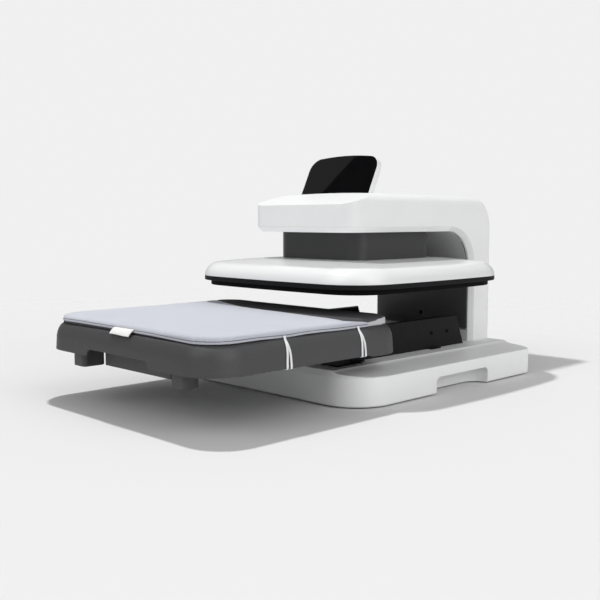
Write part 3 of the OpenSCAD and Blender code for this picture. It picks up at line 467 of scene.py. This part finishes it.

# %% [markdown]
# ### The frame, the neck and the platen
#
# The frame and the display's back share the base's white plastic. The head's bottom
# cover is painted a brighter white, a painted light for the bounce that reaches it from
# below. The dark neck slides up into the head, and the black rim and the heat plate hang
# under the platen's cover.

# %% Frame, neck and platen
shell("frame_shell", "frame_moulding", white_shell, 0.6 * MM)
shell("head_bottom_cover", "head_underside", underside_painted_light, 0.4 * MM)
shell("column_liner", "column_lining", liner_grey, 0.8 * MM, reshape=shallow_field)
shell("arch_lining", "arch_panel", arch_painted_shade, 0.1 * MM, reshape=closed_gap)
shell("display_housing", "display_back", white_shell, 0.5 * MM)
shell("neck_shroud", "press_neck", neck_grey, 0.5 * MM)
shell("platen_cover", "platen_hood", gloss_cover, 0.4 * MM, hard=40.0)
shell("platen_rim", "platen_surround", black_plastic, 0.8 * MM)
shell("heat_plate", "heat_plate_face", coated_plate, 0.8 * MM)

# %% [markdown]
# ### The tray
#
# The tray's shell is an upside-down dish with a round shoulder. Its feet and the finger
# pull are separate mouldings of the same grey.

# %% Tray shells
shell("tray_shell", "tray_dish", tray_grey, 0.5 * MM, hard=40.0)
shell("tray_feet", "tray_legs", tray_grey, 1.2 * MM)
shell("tray_pull", "tray_finger_pull", tray_grey, 0.8 * MM)

# %% [markdown]
# ### The slides' brackets
#
# The brackets are folded steel. Their flat feet reach forward under the tray, low enough
# for the tray's own feet to pass over them, so each gets one more plate, drawn as an
# outline and extruded. The fixed rails stop a little short of the brackets' rear ends.

# %% Brackets and fixed rails
FOOT_T = 1.6 * MM
FOOT_OUTLINE = [(-18.8, -50), (19, -50), (19, 6), (10.5, 6), (10.5, 22),
                (-0.5, 22), (-0.5, 0.5), (-18.8, 0.5)]
RAIL_SHORTER = 12 * MM


def longer_foot(bm):
    bm.verts.ensure_lookup_table()
    side = 1 if bm.verts[0].co.x > 0 else -1
    front, floor = (min(v.co[axis] for v in bm.verts) for axis in (1, 2))
    sheet = max(abs(v.co.x) for v in bm.verts if v.co.z > floor + 10 * MM)
    corners = [(side * (sheet + x * MM), front + y * MM, floor) for x, y in FOOT_OUTLINE]
    face = bm.faces.new([bm.verts.new(corner) for corner in corners])
    made = bmesh.ops.extrude_face_region(bm, geom=[face], use_keep_orig=True)["geom"]
    upper = [g for g in made if isinstance(g, bmesh.types.BMVert)]
    bmesh.ops.translate(bm, verts=upper, vec=(0, 0, FOOT_T))
    bmesh.ops.recalc_face_normals(bm, faces=bm.faces)


def shorter_rear(bm):
    rear = max(v.co.y for v in bm.verts)
    for v in bm.verts:
        v.co.y -= RAIL_SHORTER if v.co.y > rear - 1 * MM else 0.0


for side in ("left", "right"):
    shell(f"rail_fixed_{side}", f"{side}_fixed_rail", black_paint, 0.15 * MM, reshape=shorter_rear)
for side in ("left", "right"):
    shell(f"bracket_{side}", f"{side}_bracket", black_paint, 0.35 * MM, reshape=longer_foot)

# %% [markdown]
# ### The display
#
# The glass is one flat sheet in its leaning frame. Its ground edge is a small bevel.

# %% Display glass
shell("display_glass", "display_face", display_black, 0.5 * MM)

# %% [markdown]
# ### The brackets' screws
#
# Each bracket is held by two low button-head screws. A head could be a scaled sphere,
# but repeated insets of one capped circle give the dome and the hexagon socket in a few
# faces. The socket's ring is snapped to a hexagon before it is pushed in.

# %% Bracket screws
DOME = [(0.02, 0.45), (0.10, 0.25), (0.16, 0.20), (0.26, 0.10)]
SOCKET_FLAT, SOCKET_WALL, SOCKET_DEPTH = 0.36, 0.02, 0.55


def stepped(bm, face, inwards, rise):
    bmesh.ops.inset_region(bm, faces=[face], use_boundary=True, thickness=inwards, depth=rise)


def button_head(bm, radius, height):
    disc = bmesh.ops.create_circle(bm, cap_ends=True, segments=24, radius=radius)["verts"]
    face = disc[0].link_faces[0]
    for inwards, rise in DOME:
        stepped(bm, face, inwards * radius, rise * height)
    for v in face.verts:
        turn = math.atan2(v.co.y, v.co.x)
        reach = SOCKET_FLAT * radius / math.cos(turn % math.radians(60) - math.radians(30))
        v.co.x, v.co.y = reach * math.cos(turn), reach * math.sin(turn)
    stepped(bm, face, SOCKET_WALL * radius, -SOCKET_DEPTH * height)
    bmesh.ops.contextual_create(bm, geom=[e for e in bm.edges if e.is_boundary])


low, high = (Vector(corner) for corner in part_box("bracket_screws"))
HEAD_R, HEAD_H = (high.z - low.z) / 2, 2.0 * MM
bm = bmesh.new()
for side in (-1, 1):
    for y in (low.y + HEAD_R, high.y - HEAD_R):
        before = set(bm.verts)
        button_head(bm, HEAD_R, HEAD_H)
        place = Matrix.Translation((side * (high.x - HEAD_H), y, low.z + HEAD_R))
        bmesh.ops.transform(bm, verts=[v for v in bm.verts if v not in before],
                            matrix=place @ Matrix.Rotation(side * math.pi / 2, 4, "Y"))
bmesh.ops.recalc_face_normals(bm, faces=bm.faces)
settle(smooth(piece_from(bm, "bracket_bolts", bolt_black), 35.0), "bracket_screws")
print("four screws, radius", round(HEAD_R / MM, 2), "mm")

# %% [markdown]
# ### The power inlet at the back
#
# The mains socket, its panel and the rocker switch keep their CAD shapes and get the
# small rounded edges of injection mouldings.

# %% Rear fittings
shell("power_panel", "mains_panel", black_plastic, 0.5 * MM)
shell("power_inlet", "mains_inlet", black_plastic, 0.4 * MM)
shell("switch_body", "switch_frame", black_plastic, 0.25 * MM)
shell("power_rocker", "switch_rocker", black_plastic, 0.4 * MM)

# %% [markdown]
# ## The foam mat
#
# The tray carries a foam mat about half an inch thick. It could be a bevelled box, but
# foam swells between its edges, so a slightly smaller copy of the CAD slab is remeshed
# into even quads and puffed up by a short cloth simulation with air pressure. The
# movement is capped at about a millimetre, because the foam is firm. Then the slab is
# fitted to the CAD slab's box again. The remesh rounds its edges too much, so the heights
# are spread anew: the sides stand upright from the tray and the upper edge is squarer.

# %% Simulation helpers
scene = bpy.context.scene
SIM_FRAMES = 20


def bake(made):
    graph = bpy.context.evaluated_depsgraph_get()
    mesh = bpy.data.meshes.new_from_object(made.evaluated_get(graph))
    made.modifiers.clear()
    made.data = mesh
    return made


def remeshed(made, size):
    change = made.modifiers.new("remesh", "REMESH")
    change.mode = "VOXEL"
    change.voxel_size = size
    return bake(made)


def puffed(made, pressure, cap):
    home = [v.co.copy() for v in made.data.vertices]
    cloth = made.modifiers.new("cloth", "CLOTH")
    cloth.settings.use_pressure = True
    cloth.settings.uniform_pressure_force = pressure
    cloth.settings.effector_weights.gravity = 0.0
    for step in range(1, SIM_FRAMES + 1):
        scene.frame_set(step)
    bake(made)
    scene.frame_set(1)
    for point, start in zip(made.data.vertices, home):
        move = point.co - start
        point.co = start + move * min(1.0, cap / max(move.length, 1e-9))
    return made


def subdivided(made):
    finer = made.modifiers.new("subdivision", "SUBSURF")
    finer.levels = finer.render_levels = 1
    made.data.shade_smooth()
    return made


print("simulation of", SIM_FRAMES, "frames")

# %% The mat
SQUARE, LOWER = 0.75, 0.42
MAT_START, MAT_QUAD, MAT_PRESSURE, MAT_SWELL = (0.997, 0.997, 0.96), 4 * MM, 4.0, 1.0 * MM
mat_low, mat_high = (Vector(corner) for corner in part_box("foam_mat"))
mat_seat = Vector(((mat_low.x + mat_high.x) / 2, (mat_low.y + mat_high.y) / 2, mat_low.z))
bm = merged_copy("foam_mat")
bmesh.ops.scale(bm, verts=bm.verts, vec=MAT_START, space=Matrix.Translation(-mat_seat))
mat = remeshed(piece_from(bm, "pad_mat", foam_with_gap_shade), MAT_QUAD)
mat = puffed(mat, MAT_PRESSURE, MAT_SWELL)
grown = [max(abs(v.co[axis] - mat_seat[axis]) for v in mat.data.vertices) for axis in range(3)]
wanted = [(mat_high.x - mat_low.x) / 2, (mat_high.y - mat_low.y) / 2, mat_high.z - mat_low.z]
for v in mat.data.vertices:
    v.co = mat_seat + Vector([(v.co[a] - mat_seat[a]) * wanted[a] / grown[a] for a in range(3)])
    height = (v.co.z - mat_low.z) / wanted[2]
    v.co.z = mat_low.z + wanted[2] * max(0.0, height - LOWER * (1 - height) ** 2) ** SQUARE
fitted = [round(w / g, 4) for w, g in zip(wanted, grown)]
print("mat has", len(mat.data.vertices), "points, fitted by", fitted)

# %% [markdown]
# ## The cloth cover
#
# A fitted cloth is drawn over the mat from the front, like the end of a pillow case, and
# lies a little askew at the back. It is cut from a copy of the puffed mat's surface, so
# it follows every swell. The back edge is a curve: the copy is slid until that curve is
# a straight line, cut with one plane, and slid back.

# %% Curves of the cover's edges
REAR_EDGE = [(-195, -45.7), (-119, -73.7), (-56, -96.0), (0, -101.5), (93, -107.9), (162, -113.7),
             (200, -115.7)]
FRONT_HEM = [(-200, 125.4), (-90, 126.2), (54, 124.6), (152, 123.2), (200, 123.0)]
SIDE_HEM = [(-320, 123.4), (-280, 123.8), (-245, 122.6), (-225, 122.2), (-197, 123.2), (-165, 123.4),
            (-130, 122.7), (-60, 122.4)]
HEM, FOLD = 4.0, 6.0
CORNER_X, CORNER_RUN, CORNER_TOP, CORNER_FALL = 170 * MM, 49.0, 0.6 * MM, 5.4 * MM
FRONT_BLEND = 60 * MM
RIPPLE, RIPPLE_X, RIPPLE_Y = 0.2, 17 * MM, 23 * MM


def unit(value):
    return min(1.0, max(0.0, value))


def along(points, x):
    for (x0, y0), (x1, y1) in zip(points, points[1:]):
        if x <= x1:
            break
    return y0 + (y1 - y0) * unit((x - x0) / (x1 - x0))


def rear_edge(co):
    fallen = unit((mat_high.z - CORNER_TOP - co.z) / CORNER_FALL) if co.x > CORNER_X else 0.0
    return (along(REAR_EDGE, co.x / MM) + CORNER_RUN * fallen) * MM


def hem_edge(co):
    ahead = unit(1.0 - (co.y - mat_low.y) / FRONT_BLEND)
    front = ahead * ahead * (3 - 2 * ahead)
    side = along(SIDE_HEM, co.y / MM)
    ripple = RIPPLE * math.sin(co.x / RIPPLE_X) * math.sin(co.y / RIPPLE_Y + 1.0)
    return (side + (along(FRONT_HEM, co.x / MM) - side) * front + ripple) * MM


def cut(bm, axis, at=0.0, clear=False):
    normal = Vector((0, 1, 0)) if axis == "y" else Vector((0, 0, -1))
    return bmesh.ops.bisect_plane(bm, geom=bm.verts[:] + bm.edges[:] + bm.faces[:], dist=1e-7,
                                  plane_co=normal * at, plane_no=normal, clear_outer=clear)["geom_cut"]


print("cover's back edge from", REAR_EDGE[0], "to", REAR_EDGE[-1], "mm")

# %% [markdown]
# Below a seam the cover ends in a turned hem. The cloth under the seam is cut off with
# the same sliding trick, and the open edge is extruded again in small steps: first a
# groove where the thread pulls in, then a band that flares out over the tray's shoulder.
# The groove's faces take a dark grey cloth, a painted shade for the crease of the seam.

# %% Cut the cover
CLOTH_OUT = 0.6 * MM
bm = bmesh.new()
bm.from_mesh(mat.data)
bm.normal_update()
for v in bm.verts:
    v.co += v.normal * CLOTH_OUT
for v in bm.verts:
    v.co.y -= rear_edge(v.co)
cut(bm, "y", clear=True)
fold_line = [e for e in cut(bm, "y", -FOLD * MM) if isinstance(e, bmesh.types.BMEdge)]
for v in bm.verts:
    v.co.y += rear_edge(v.co)
for v in bm.verts:
    v.co.z -= hem_edge(v.co) + HEM * MM
cut(bm, "z", clear=True)
seam = [e for e in bm.edges if e.is_boundary and all(abs(v.co.z) < 1e-6 for v in e.verts)]
for v in bm.verts:
    v.co.z += hem_edge(v.co) + HEM * MM
bm.normal_update()
fold_line = [e for e in fold_line if e.is_valid]
print("cover cut, seam of", len(seam), "edges")

# %% Turn the hem
HEM_STEPS = [(1.1, -0.3), (1.5, 0.2), (2.8, 0.3), (3.7, 0.0), (4.0, -0.8)]
GROOVE_STEP, STITCH_STEP = HEM_STEPS[0], HEM_STEPS[1]
ROLL_OUT, ROLL_START, ROLL_HEIGHT = 9.0, 128.35, 7.0
SEAM_PULL, FOLD_PULL = 0.4 * MM, 0.3 * MM
HEM_LIFT, FOLD_LIFT = 0.15 * MM, 0.35 * MM


def rolled(z):
    return ROLL_OUT * (1 - math.cos(math.asin(unit((z / MM - ROLL_START) / ROLL_HEIGHT))))


outward = {v: Vector((v.normal.x, v.normal.y, 0)).normalized() for e in seam for v in e.verts}
spread_out = {v: rolled(v.co.z) for v in outward}
edge, roots = seam, {v: v for v in outward}
for drop, flare in HEM_STEPS:
    made = bmesh.ops.extrude_edge_only(bm, edges=edge)["geom"]
    origin = {}
    for v in (g for g in made if isinstance(g, bmesh.types.BMVert)):
        near = [e.other_vert(v) for e in v.link_edges if e.other_vert(v) in roots]
        origin[v] = roots[near[0]]
    for v, root in origin.items():
        reach = flare + spread_out[root] * drop / HEM_STEPS[-1][0]
        v.co = root.co + outward[root] * reach * MM - Vector((0, 0, drop * MM))
    edge = [g for g in made if isinstance(g, bmesh.types.BMEdge) and all(v in origin for v in g.verts)]
    roots = origin
    if (drop, flare) == GROOVE_STEP:
        groove = [g for g in made if isinstance(g, bmesh.types.BMFace)]
    if (drop, flare) == STITCH_STEP:
        stitch_spots = [(e, HEM_LIFT) for e in edge]
for v in outward:
    v.co -= outward[v] * SEAM_PULL
# the groove's faces take the dark cloth, a painted shade for the seam's crease
for f in groove:
    f.material_index = 1
for v in {v for e in fold_line for v in e.verts}:
    v.co -= v.normal * FOLD_PULL
stitch_spots += [(e, FOLD_LIFT) for e in fold_line]
print("hem turned in", len(HEM_STEPS), "steps")

# %% [markdown]
# The stitches are tiny beads, one for each edge of the seam, laid along the thread's
# line. A bead of twenty faces is enough, because there are hundreds of them.

# %% Stitches
STITCH_ROOM = 2.2 * MM
BEAD = (1.5 * MM, 0.35 * MM, 0.3 * MM, 1.0)
thread = bmesh.new()
for e, lift in stitch_spots:
    if e.calc_length() < STITCH_ROOM:
        continue
    run = (e.verts[1].co - e.verts[0].co).normalized()
    face_out = (e.verts[0].normal + e.verts[1].normal).normalized()
    across = face_out.cross(run).normalized()
    turn = Matrix((run, across, run.cross(across))).transposed().to_4x4()
    middle = (e.verts[0].co + e.verts[1].co) / 2 + face_out * lift
    bead = bmesh.ops.create_icosphere(thread, subdivisions=1, radius=1.0)["verts"]
    bmesh.ops.transform(thread, verts=bead,
                        matrix=Matrix.Translation(middle) @ turn @ Matrix.Diagonal(BEAD))
stitches = piece_from(thread, "hem_stitches", thread_white)
stitches.data.shade_smooth()
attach(stitches, "tray")
print(len(stitches.data.polygons) // 20, "stitches")

# %% [markdown]
# The cut cover is a surface without thickness. A Solidify modifier gives the cloth half
# a millimetre, and one level of subdivision rounds the hem's small steps.

# %% The finished cover
CLOTH_T = 0.5 * MM


def thickened(made, thickness, offset=0.0):
    thick = made.modifiers.new("thickness", "SOLIDIFY")
    thick.thickness, thick.offset = thickness, offset
    return made


bmesh.ops.remove_doubles(bm, verts=bm.verts, dist=0.02 * MM)
bmesh.ops.delete(bm, geom=[v for v in bm.verts if not v.link_faces], context="VERTS")
cloth_area = sum(f.calc_area() for f in bm.faces)
cover = piece_from(bm, "pad_cloth", cover_cloth)
cover.data.materials.append(seam_painted_shade)
settle(subdivided(thickened(cover, CLOTH_T, -1.0)), "pad_cover")
print("cover of", round(cloth_area, 4), "square metres")

# %% [markdown]
# Where the cover ends, the mat is free of its pull, so its edge is squarer and stands a
# little higher. Under the cover it is pressed in by half a millimetre, so that the cloth
# has room. The bare end shows its dark top and, on its side, the pale core of the foam.
# The core is a second material, and its upper edge is a slanting line: the sliding trick
# cuts the faces there, so that the two colours meet in a clean line.

# %% Finish the mat
CORE_EDGE = [(-70, 129.5), (-29, 133.2)]
SQUEEZE, BARE_BLEND, BARE_RISE, BARE_SQUARE = 0.5 * MM, 12 * MM, 1.06, 0.8
UNDERSIDE, CORE_UNDERSIDE = -0.3, -0.7
mat_height = mat_high.z - mat_low.z


def core_top(co):
    return along(CORE_EDGE, co.y / MM) * MM


mat.data.materials.append(mat_core)
bm = bmesh.new()
bm.from_mesh(mat.data)
bm.normal_update()
for v in bm.verts:
    bare = unit((v.co.y - rear_edge(v.co)) / BARE_BLEND)
    full = max(0.0, v.co.z - mat_low.z) / mat_height
    v.co.z += (BARE_RISE * full ** BARE_SQUARE - full) * bare * mat_height
    if v.normal.z > UNDERSIDE:
        v.co -= v.normal * SQUEEZE * (1 - bare)
for v in bm.verts:
    v.co.z -= core_top(v.co)
cut(bm, "z")
for v in bm.verts:
    v.co.z += core_top(v.co)
bm.normal_update()
# Only the bare end's sides take the pale core. Under the cover the sides keep the dark foam, a painted
# shade for the gap below the hem.
for f in bm.faces:
    middle = f.calc_center_median()
    bare_end = middle.y > rear_edge(middle) - BARE_BLEND
    low_side = middle.z < core_top(middle) and f.normal.z > CORE_UNDERSIDE
    f.material_index = 1 if bare_end and low_side else 0
bm.to_mesh(mat.data)
bm.free()
settle(subdivided(mat), "foam_mat")
print("mat finished with", sum(p.material_index for p in mat.data.polygons), "pale faces")

# %% [markdown]
# ### Elastic strands and the tab
#
# Pairs of white elastic strands are sewn to the cover's hem and pull it down round the
# tray's side. Each is an edge extruded along a path, and a Solidify modifier gives it
# thickness. A simulation would lose something this thin, so they are modelled directly.

# %% Path of a strand
TRAY_W, TRAY_UNDER, TRAY_H = 414.0, 82.5, 40.0
SHOULDER_W, SHOULDER_H, WALL_LEAN = 14.0, 28.0, 0.7
FIT_Y = -100.65
SEWN = [(197.3, 126.0), (197.8, 123.8), (198.5, 121.8)]
STRAND_OFF, STRAND_LAP, STRAND_TOP, STRAND_POINTS = 0.9, 0.2, 3.6, 16
HOOK = [(1.5, 0.9), (8.0, 0.9)]


def tray_side(h):
    rise = max(0.0, (h - TRAY_H + SHOULDER_H) / SHOULDER_H)
    inset = WALL_LEAN * unit(h / (TRAY_H - SHOULDER_H))
    return TRAY_W / 2 - inset - SHOULDER_W * (1 - math.sqrt(max(0.0, 1 - rise * rise)))


def strand_path(side, y, sway):
    close = y + 0.1 * sway
    under = STRAND_LAP if sway > 0 else 0.0
    path = [(x - under, close, z) for x, z in SEWN]
    for i in range(STRAND_POINTS + 1):
        s = i / STRAND_POINTS
        h = (TRAY_H - STRAND_TOP) * (1 - s)
        run = close + 0.9 * sway * (1 - (1 - s) ** 2)
        path.append((tray_side(h) + STRAND_OFF - under, run, TRAY_UNDER + h))
    path += [(TRAY_W / 2 - back, y + sway, TRAY_UNDER - below) for back, below in HOOK]
    return [Vector((side * px, py + FIT_Y, pz)) * MM for px, py, pz in path]


print("a strand's path has", len(strand_path(1, 0, 1)), "points")

# %% Elastic strands
PAIRS = [(-138, (-4, 3.5)), (8.4, (-1.4, 6))]
STRAND_HALF, STRAND_T = 2.0 * MM, 1.0 * MM


def extruded(bm, edge, move):
    made = bmesh.ops.extrude_edge_only(bm, edges=edge)["geom"]
    fresh = {g for g in made if isinstance(g, bmesh.types.BMVert)}
    bmesh.ops.translate(bm, verts=list(fresh), vec=move)
    return [g for g in made if isinstance(g, bmesh.types.BMEdge) and fresh.issuperset(g.verts)]


def line_of(bm, points):
    row = [bm.verts.new(point) for point in points]
    return [bm.edges.new(pair) for pair in zip(row, row[1:])]


bm = bmesh.new()
for side in (-1, 1):
    for y, sways in PAIRS:
        for sway in sways:
            path = strand_path(side, y, sway)
            edge = line_of(bm, [path[0] + Vector((0, -side * k * STRAND_HALF, 0)) for k in (-1, 0, 1)])
            for start, end in zip(path, path[1:]):
                edge = extruded(bm, edge, end - start)
straps = thickened(piece_from(bm, "elastic_strands", elastic_white), STRAND_T)
settle(subdivided(straps), "pad_straps")
print("eight strands of", len(straps.data.polygons) // 8, "faces")

# %% [markdown]
# The tab at the front is a short folded tape, left blank. Its side view is drawn as one
# line, out over the hem, round the fold and back, and extruded along the tape's width.

# %% Blank tab
TAB_LEANS, TAB_STEP, TAB_COLUMNS = range(24, 61, 6), 1.85 * MM, 12
TAB_FOLD, TAB_TIP, TAB_T = 0.9 * MM, 0.45 * MM, 0.3 * MM
TAB_WAVE, TAB_REACH = 0.5 * MM, 13 * MM
tab_low, tab_high = (Vector(corner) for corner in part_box("pad_tab"))
tab_width = tab_high.x - tab_low.x
root = Vector((tab_low.x, tab_high.y + 0.6 * MM, tab_high.z - 0.9 * MM))
line = [root]
for lean in map(math.radians, TAB_LEANS):
    line.append(line[-1] + Vector((0, -math.cos(lean), -math.sin(lean))) * TAB_STEP)
below = [p + Vector((0, 0.62, -0.78)) * TAB_FOLD for p in reversed(line)]
tip = (line[-1] + below[0]) / 2 + Vector((0, -0.78, -0.62)) * TAB_TIP
bm = bmesh.new()
edge = line_of(bm, line + [tip] + below)
for step in range(TAB_COLUMNS):
    edge = extruded(bm, edge, Vector((tab_width, 0, 0)) / TAB_COLUMNS)
for v in bm.verts:
    out = (root.y - v.co.y) / TAB_REACH
    v.co.z += TAB_WAVE * out * math.sin((v.co.x - tab_low.x) / tab_width * 5.0 + 0.6)
bmesh.ops.recalc_face_normals(bm, faces=bm.faces)
tab = thickened(piece_from(bm, "blank_tab", tab_white), TAB_T)
settle(subdivided(tab), "pad_tab")

# %% [markdown]
# ## The floor and the light
#
# A small lamp hangs above the tray's left side and gives the crisp shadow on the floor.
# Two broad soft boxes, one in front and one to the right, light the upright walls. They
# are bright patches of the world, because such a patch gives no shadow edge of its own.
# The floor's colour evens out the lamp's slant, and the floor fades into the backdrop.

# %% Floor
BACKDROP = 0.872
LAMP = Vector((-0.15, -0.20, 1.10))
FILL, KEY, PALEST = 0.68, 0.74, 0.97
FLOOR_R, FADE_START, FADE_END = 2.5, 0.9, 1.9


def arith(tree, operation, *values):
    made = node(tree, "ShaderNodeMath", operation=operation)
    for index, value in enumerate(values):
        if isinstance(value, (int, float)):
            made.inputs[index].default_value = value
        else:
            tree.links.new(value, made.inputs[index])
    return made.outputs[0]


def pale_floor():
    made, tree, shader, place = new_finish("pale_floor")
    put(shader, Roughness=0.9, Specular_IOR_Level=0.1)
    away = node(tree, "ShaderNodeVectorMath", operation="DISTANCE")
    tree.links.new(place, away.inputs[0])
    away.inputs[1].default_value = LAMP
    lit = arith(tree, "DIVIDE", LAMP.z * KEY, away.outputs["Value"])
    tone = arith(tree, "DIVIDE", BACKDROP, arith(tree, "ADD", lit, FILL))
    tree.links.new(arith(tree, "MINIMUM", tone, PALEST), shader.inputs["Base Color"])
    far = node(tree, "ShaderNodeVectorMath", operation="LENGTH")
    tree.links.new(place, far.inputs[0])
    fade = spread(tree, far.outputs["Value"], 0.0, 1.0, FADE_START, FADE_END)
    clear = node(tree, "ShaderNodeBsdfTransparent")
    mix = node(tree, "ShaderNodeMixShader")
    tree.links.new(fade, mix.inputs[0])
    tree.links.new(shader.outputs[0], mix.inputs[1])
    tree.links.new(clear.outputs[0], mix.inputs[2])
    tree.links.new(mix.outputs[0], tree.nodes["Material Output"].inputs["Surface"])
    return made


bm = bmesh.new()
bmesh.ops.create_circle(bm, cap_ends=True, segments=96, radius=FLOOR_R)
floor = piece_from(bm, "floor", pale_floor())
print("floor of radius", FLOOR_R, "m")

# %% [markdown]
# The world's brightness depends on direction alone: a gradient from horizon to zenith,
# plus a soft lobe for each box. A lobe is the dot product with the box's direction,
# raised to a power. The backdrop that the camera sees is plain.

# %% World
STEPS = [(0.0, 0.60), (0.49, 0.45), (0.52, 0.36), (0.65, 0.36), (0.80, 0.26), (1.0, 0.20)]
BOXES = [(-95, 40, 2.3, 14), (3, 32, 2.85, 10)]
world = bpy.data.worlds.new("studio")
bpy.context.scene.world = world
world.use_nodes = True
tree = world.node_tree
sky = tree.nodes["Background"]
heading = node(tree, "ShaderNodeTexCoord").outputs["Generated"]
split = node(tree, "ShaderNodeSeparateXYZ")
tree.links.new(heading, split.inputs[0])
ramp = node(tree, "ShaderNodeValToRGB")
while len(ramp.color_ramp.elements) < len(STEPS):
    ramp.color_ramp.elements.new(0.5)
for element, (position, level) in zip(ramp.color_ramp.elements, STEPS):
    element.position = position
    element.color = (level, level, level, 1.0)
tree.links.new(spread(tree, split.outputs["Z"], 0.0, 1.0, -1.0, 1.0), ramp.inputs[0])


def soft_box(azimuth, elevation, level, sharpness):
    turn, rise = math.radians(azimuth), math.radians(elevation)
    flat = math.cos(rise)
    dot = node(tree, "ShaderNodeVectorMath", operation="DOT_PRODUCT")
    tree.links.new(heading, dot.inputs[0])
    dot.inputs[1].default_value = (math.cos(turn) * flat, math.sin(turn) * flat, math.sin(rise))
    lobe = arith(tree, "POWER", arith(tree, "MAXIMUM", dot.outputs["Value"], 0.0), sharpness)
    return arith(tree, "MULTIPLY", lobe, level)


total = ramp.outputs["Color"]
for box in BOXES:
    total = arith(tree, "ADD", total, soft_box(*box))
tree.links.new(total, sky.inputs["Color"])
backdrop = put(node(tree, "ShaderNodeBackground"), Strength=1.0)
backdrop.inputs["Color"].default_value = (BACKDROP, BACKDROP, BACKDROP, 1.0)
chosen = node(tree, "ShaderNodeMixShader")
tree.links.new(node(tree, "ShaderNodeLightPath").outputs["Is Camera Ray"], chosen.inputs[0])
tree.links.new(sky.outputs[0], chosen.inputs[1])
tree.links.new(backdrop.outputs[0], chosen.inputs[2])
tree.links.new(chosen.outputs[0], tree.nodes["World Output"].inputs["Surface"])
print("world has", len(STEPS), "steps and", len(BOXES), "soft boxes")

# %% [markdown]
# The lamp's light doesn't weaken with distance, so the far corner of the floor is as
# bright as the near one.

# %% Lamp
LAMP_STRENGTH, LAMP_SIZE = 29.0, 0.03
lamp_data = bpy.data.lights.new("lamp", "POINT")
lamp_data.energy = 1.0
lamp_data.shadow_soft_size = LAMP_SIZE
lamp_data.use_nodes = True
lamp_tree = lamp_data.node_tree
even = put(node(lamp_tree, "ShaderNodeLightFalloff"), Strength=LAMP_STRENGTH)
lamp_tree.links.new(even.outputs["Constant"], lamp_tree.nodes["Emission"].inputs["Strength"])
lamp = bpy.data.objects.new("lamp", lamp_data)
bpy.context.scene.collection.objects.link(lamp)
lamp.location = LAMP
bpy.context.scene.view_settings.view_transform = "Standard"
print("lamp at", [round(c, 2) for c in lamp.location])

# %% [markdown]
# A black card up to the left is seen only in reflections: its edge draws the diagonal
# across the display.

# %% Reflection card
CARD_MIDDLE = Vector((-1.021, -0.544, 1.263))
CARD_ALONG, CARD_INTO = Vector((0.559, 0.330, 0.762)), Vector((0.776, -0.528, -0.344))
CARD_HALF, CARD_DEPTH = 0.6, 0.7
card_black = bpy.data.materials.new("card_black")
card_black.use_nodes = True
matt = put(card_black.node_tree.nodes["Principled BSDF"], Roughness=1.0, Specular_IOR_Level=0.0)
matt.inputs["Base Color"].default_value = (0.0, 0.0, 0.0, 1.0)
bm = bmesh.new()
bm.faces.new([bm.verts.new(CARD_MIDDLE + CARD_HALF * a * CARD_ALONG + CARD_DEPTH * b * CARD_INTO)
              for a, b in ((-1, 0), (1, 0), (1, 1), (-1, 1))])
card = piece_from(bm, "reflection_card", card_black)
card.visible_camera = card.visible_diffuse = card.visible_shadow = card.visible_transmission = False
print("card", 2 * CARD_HALF, "by", CARD_DEPTH, "m")
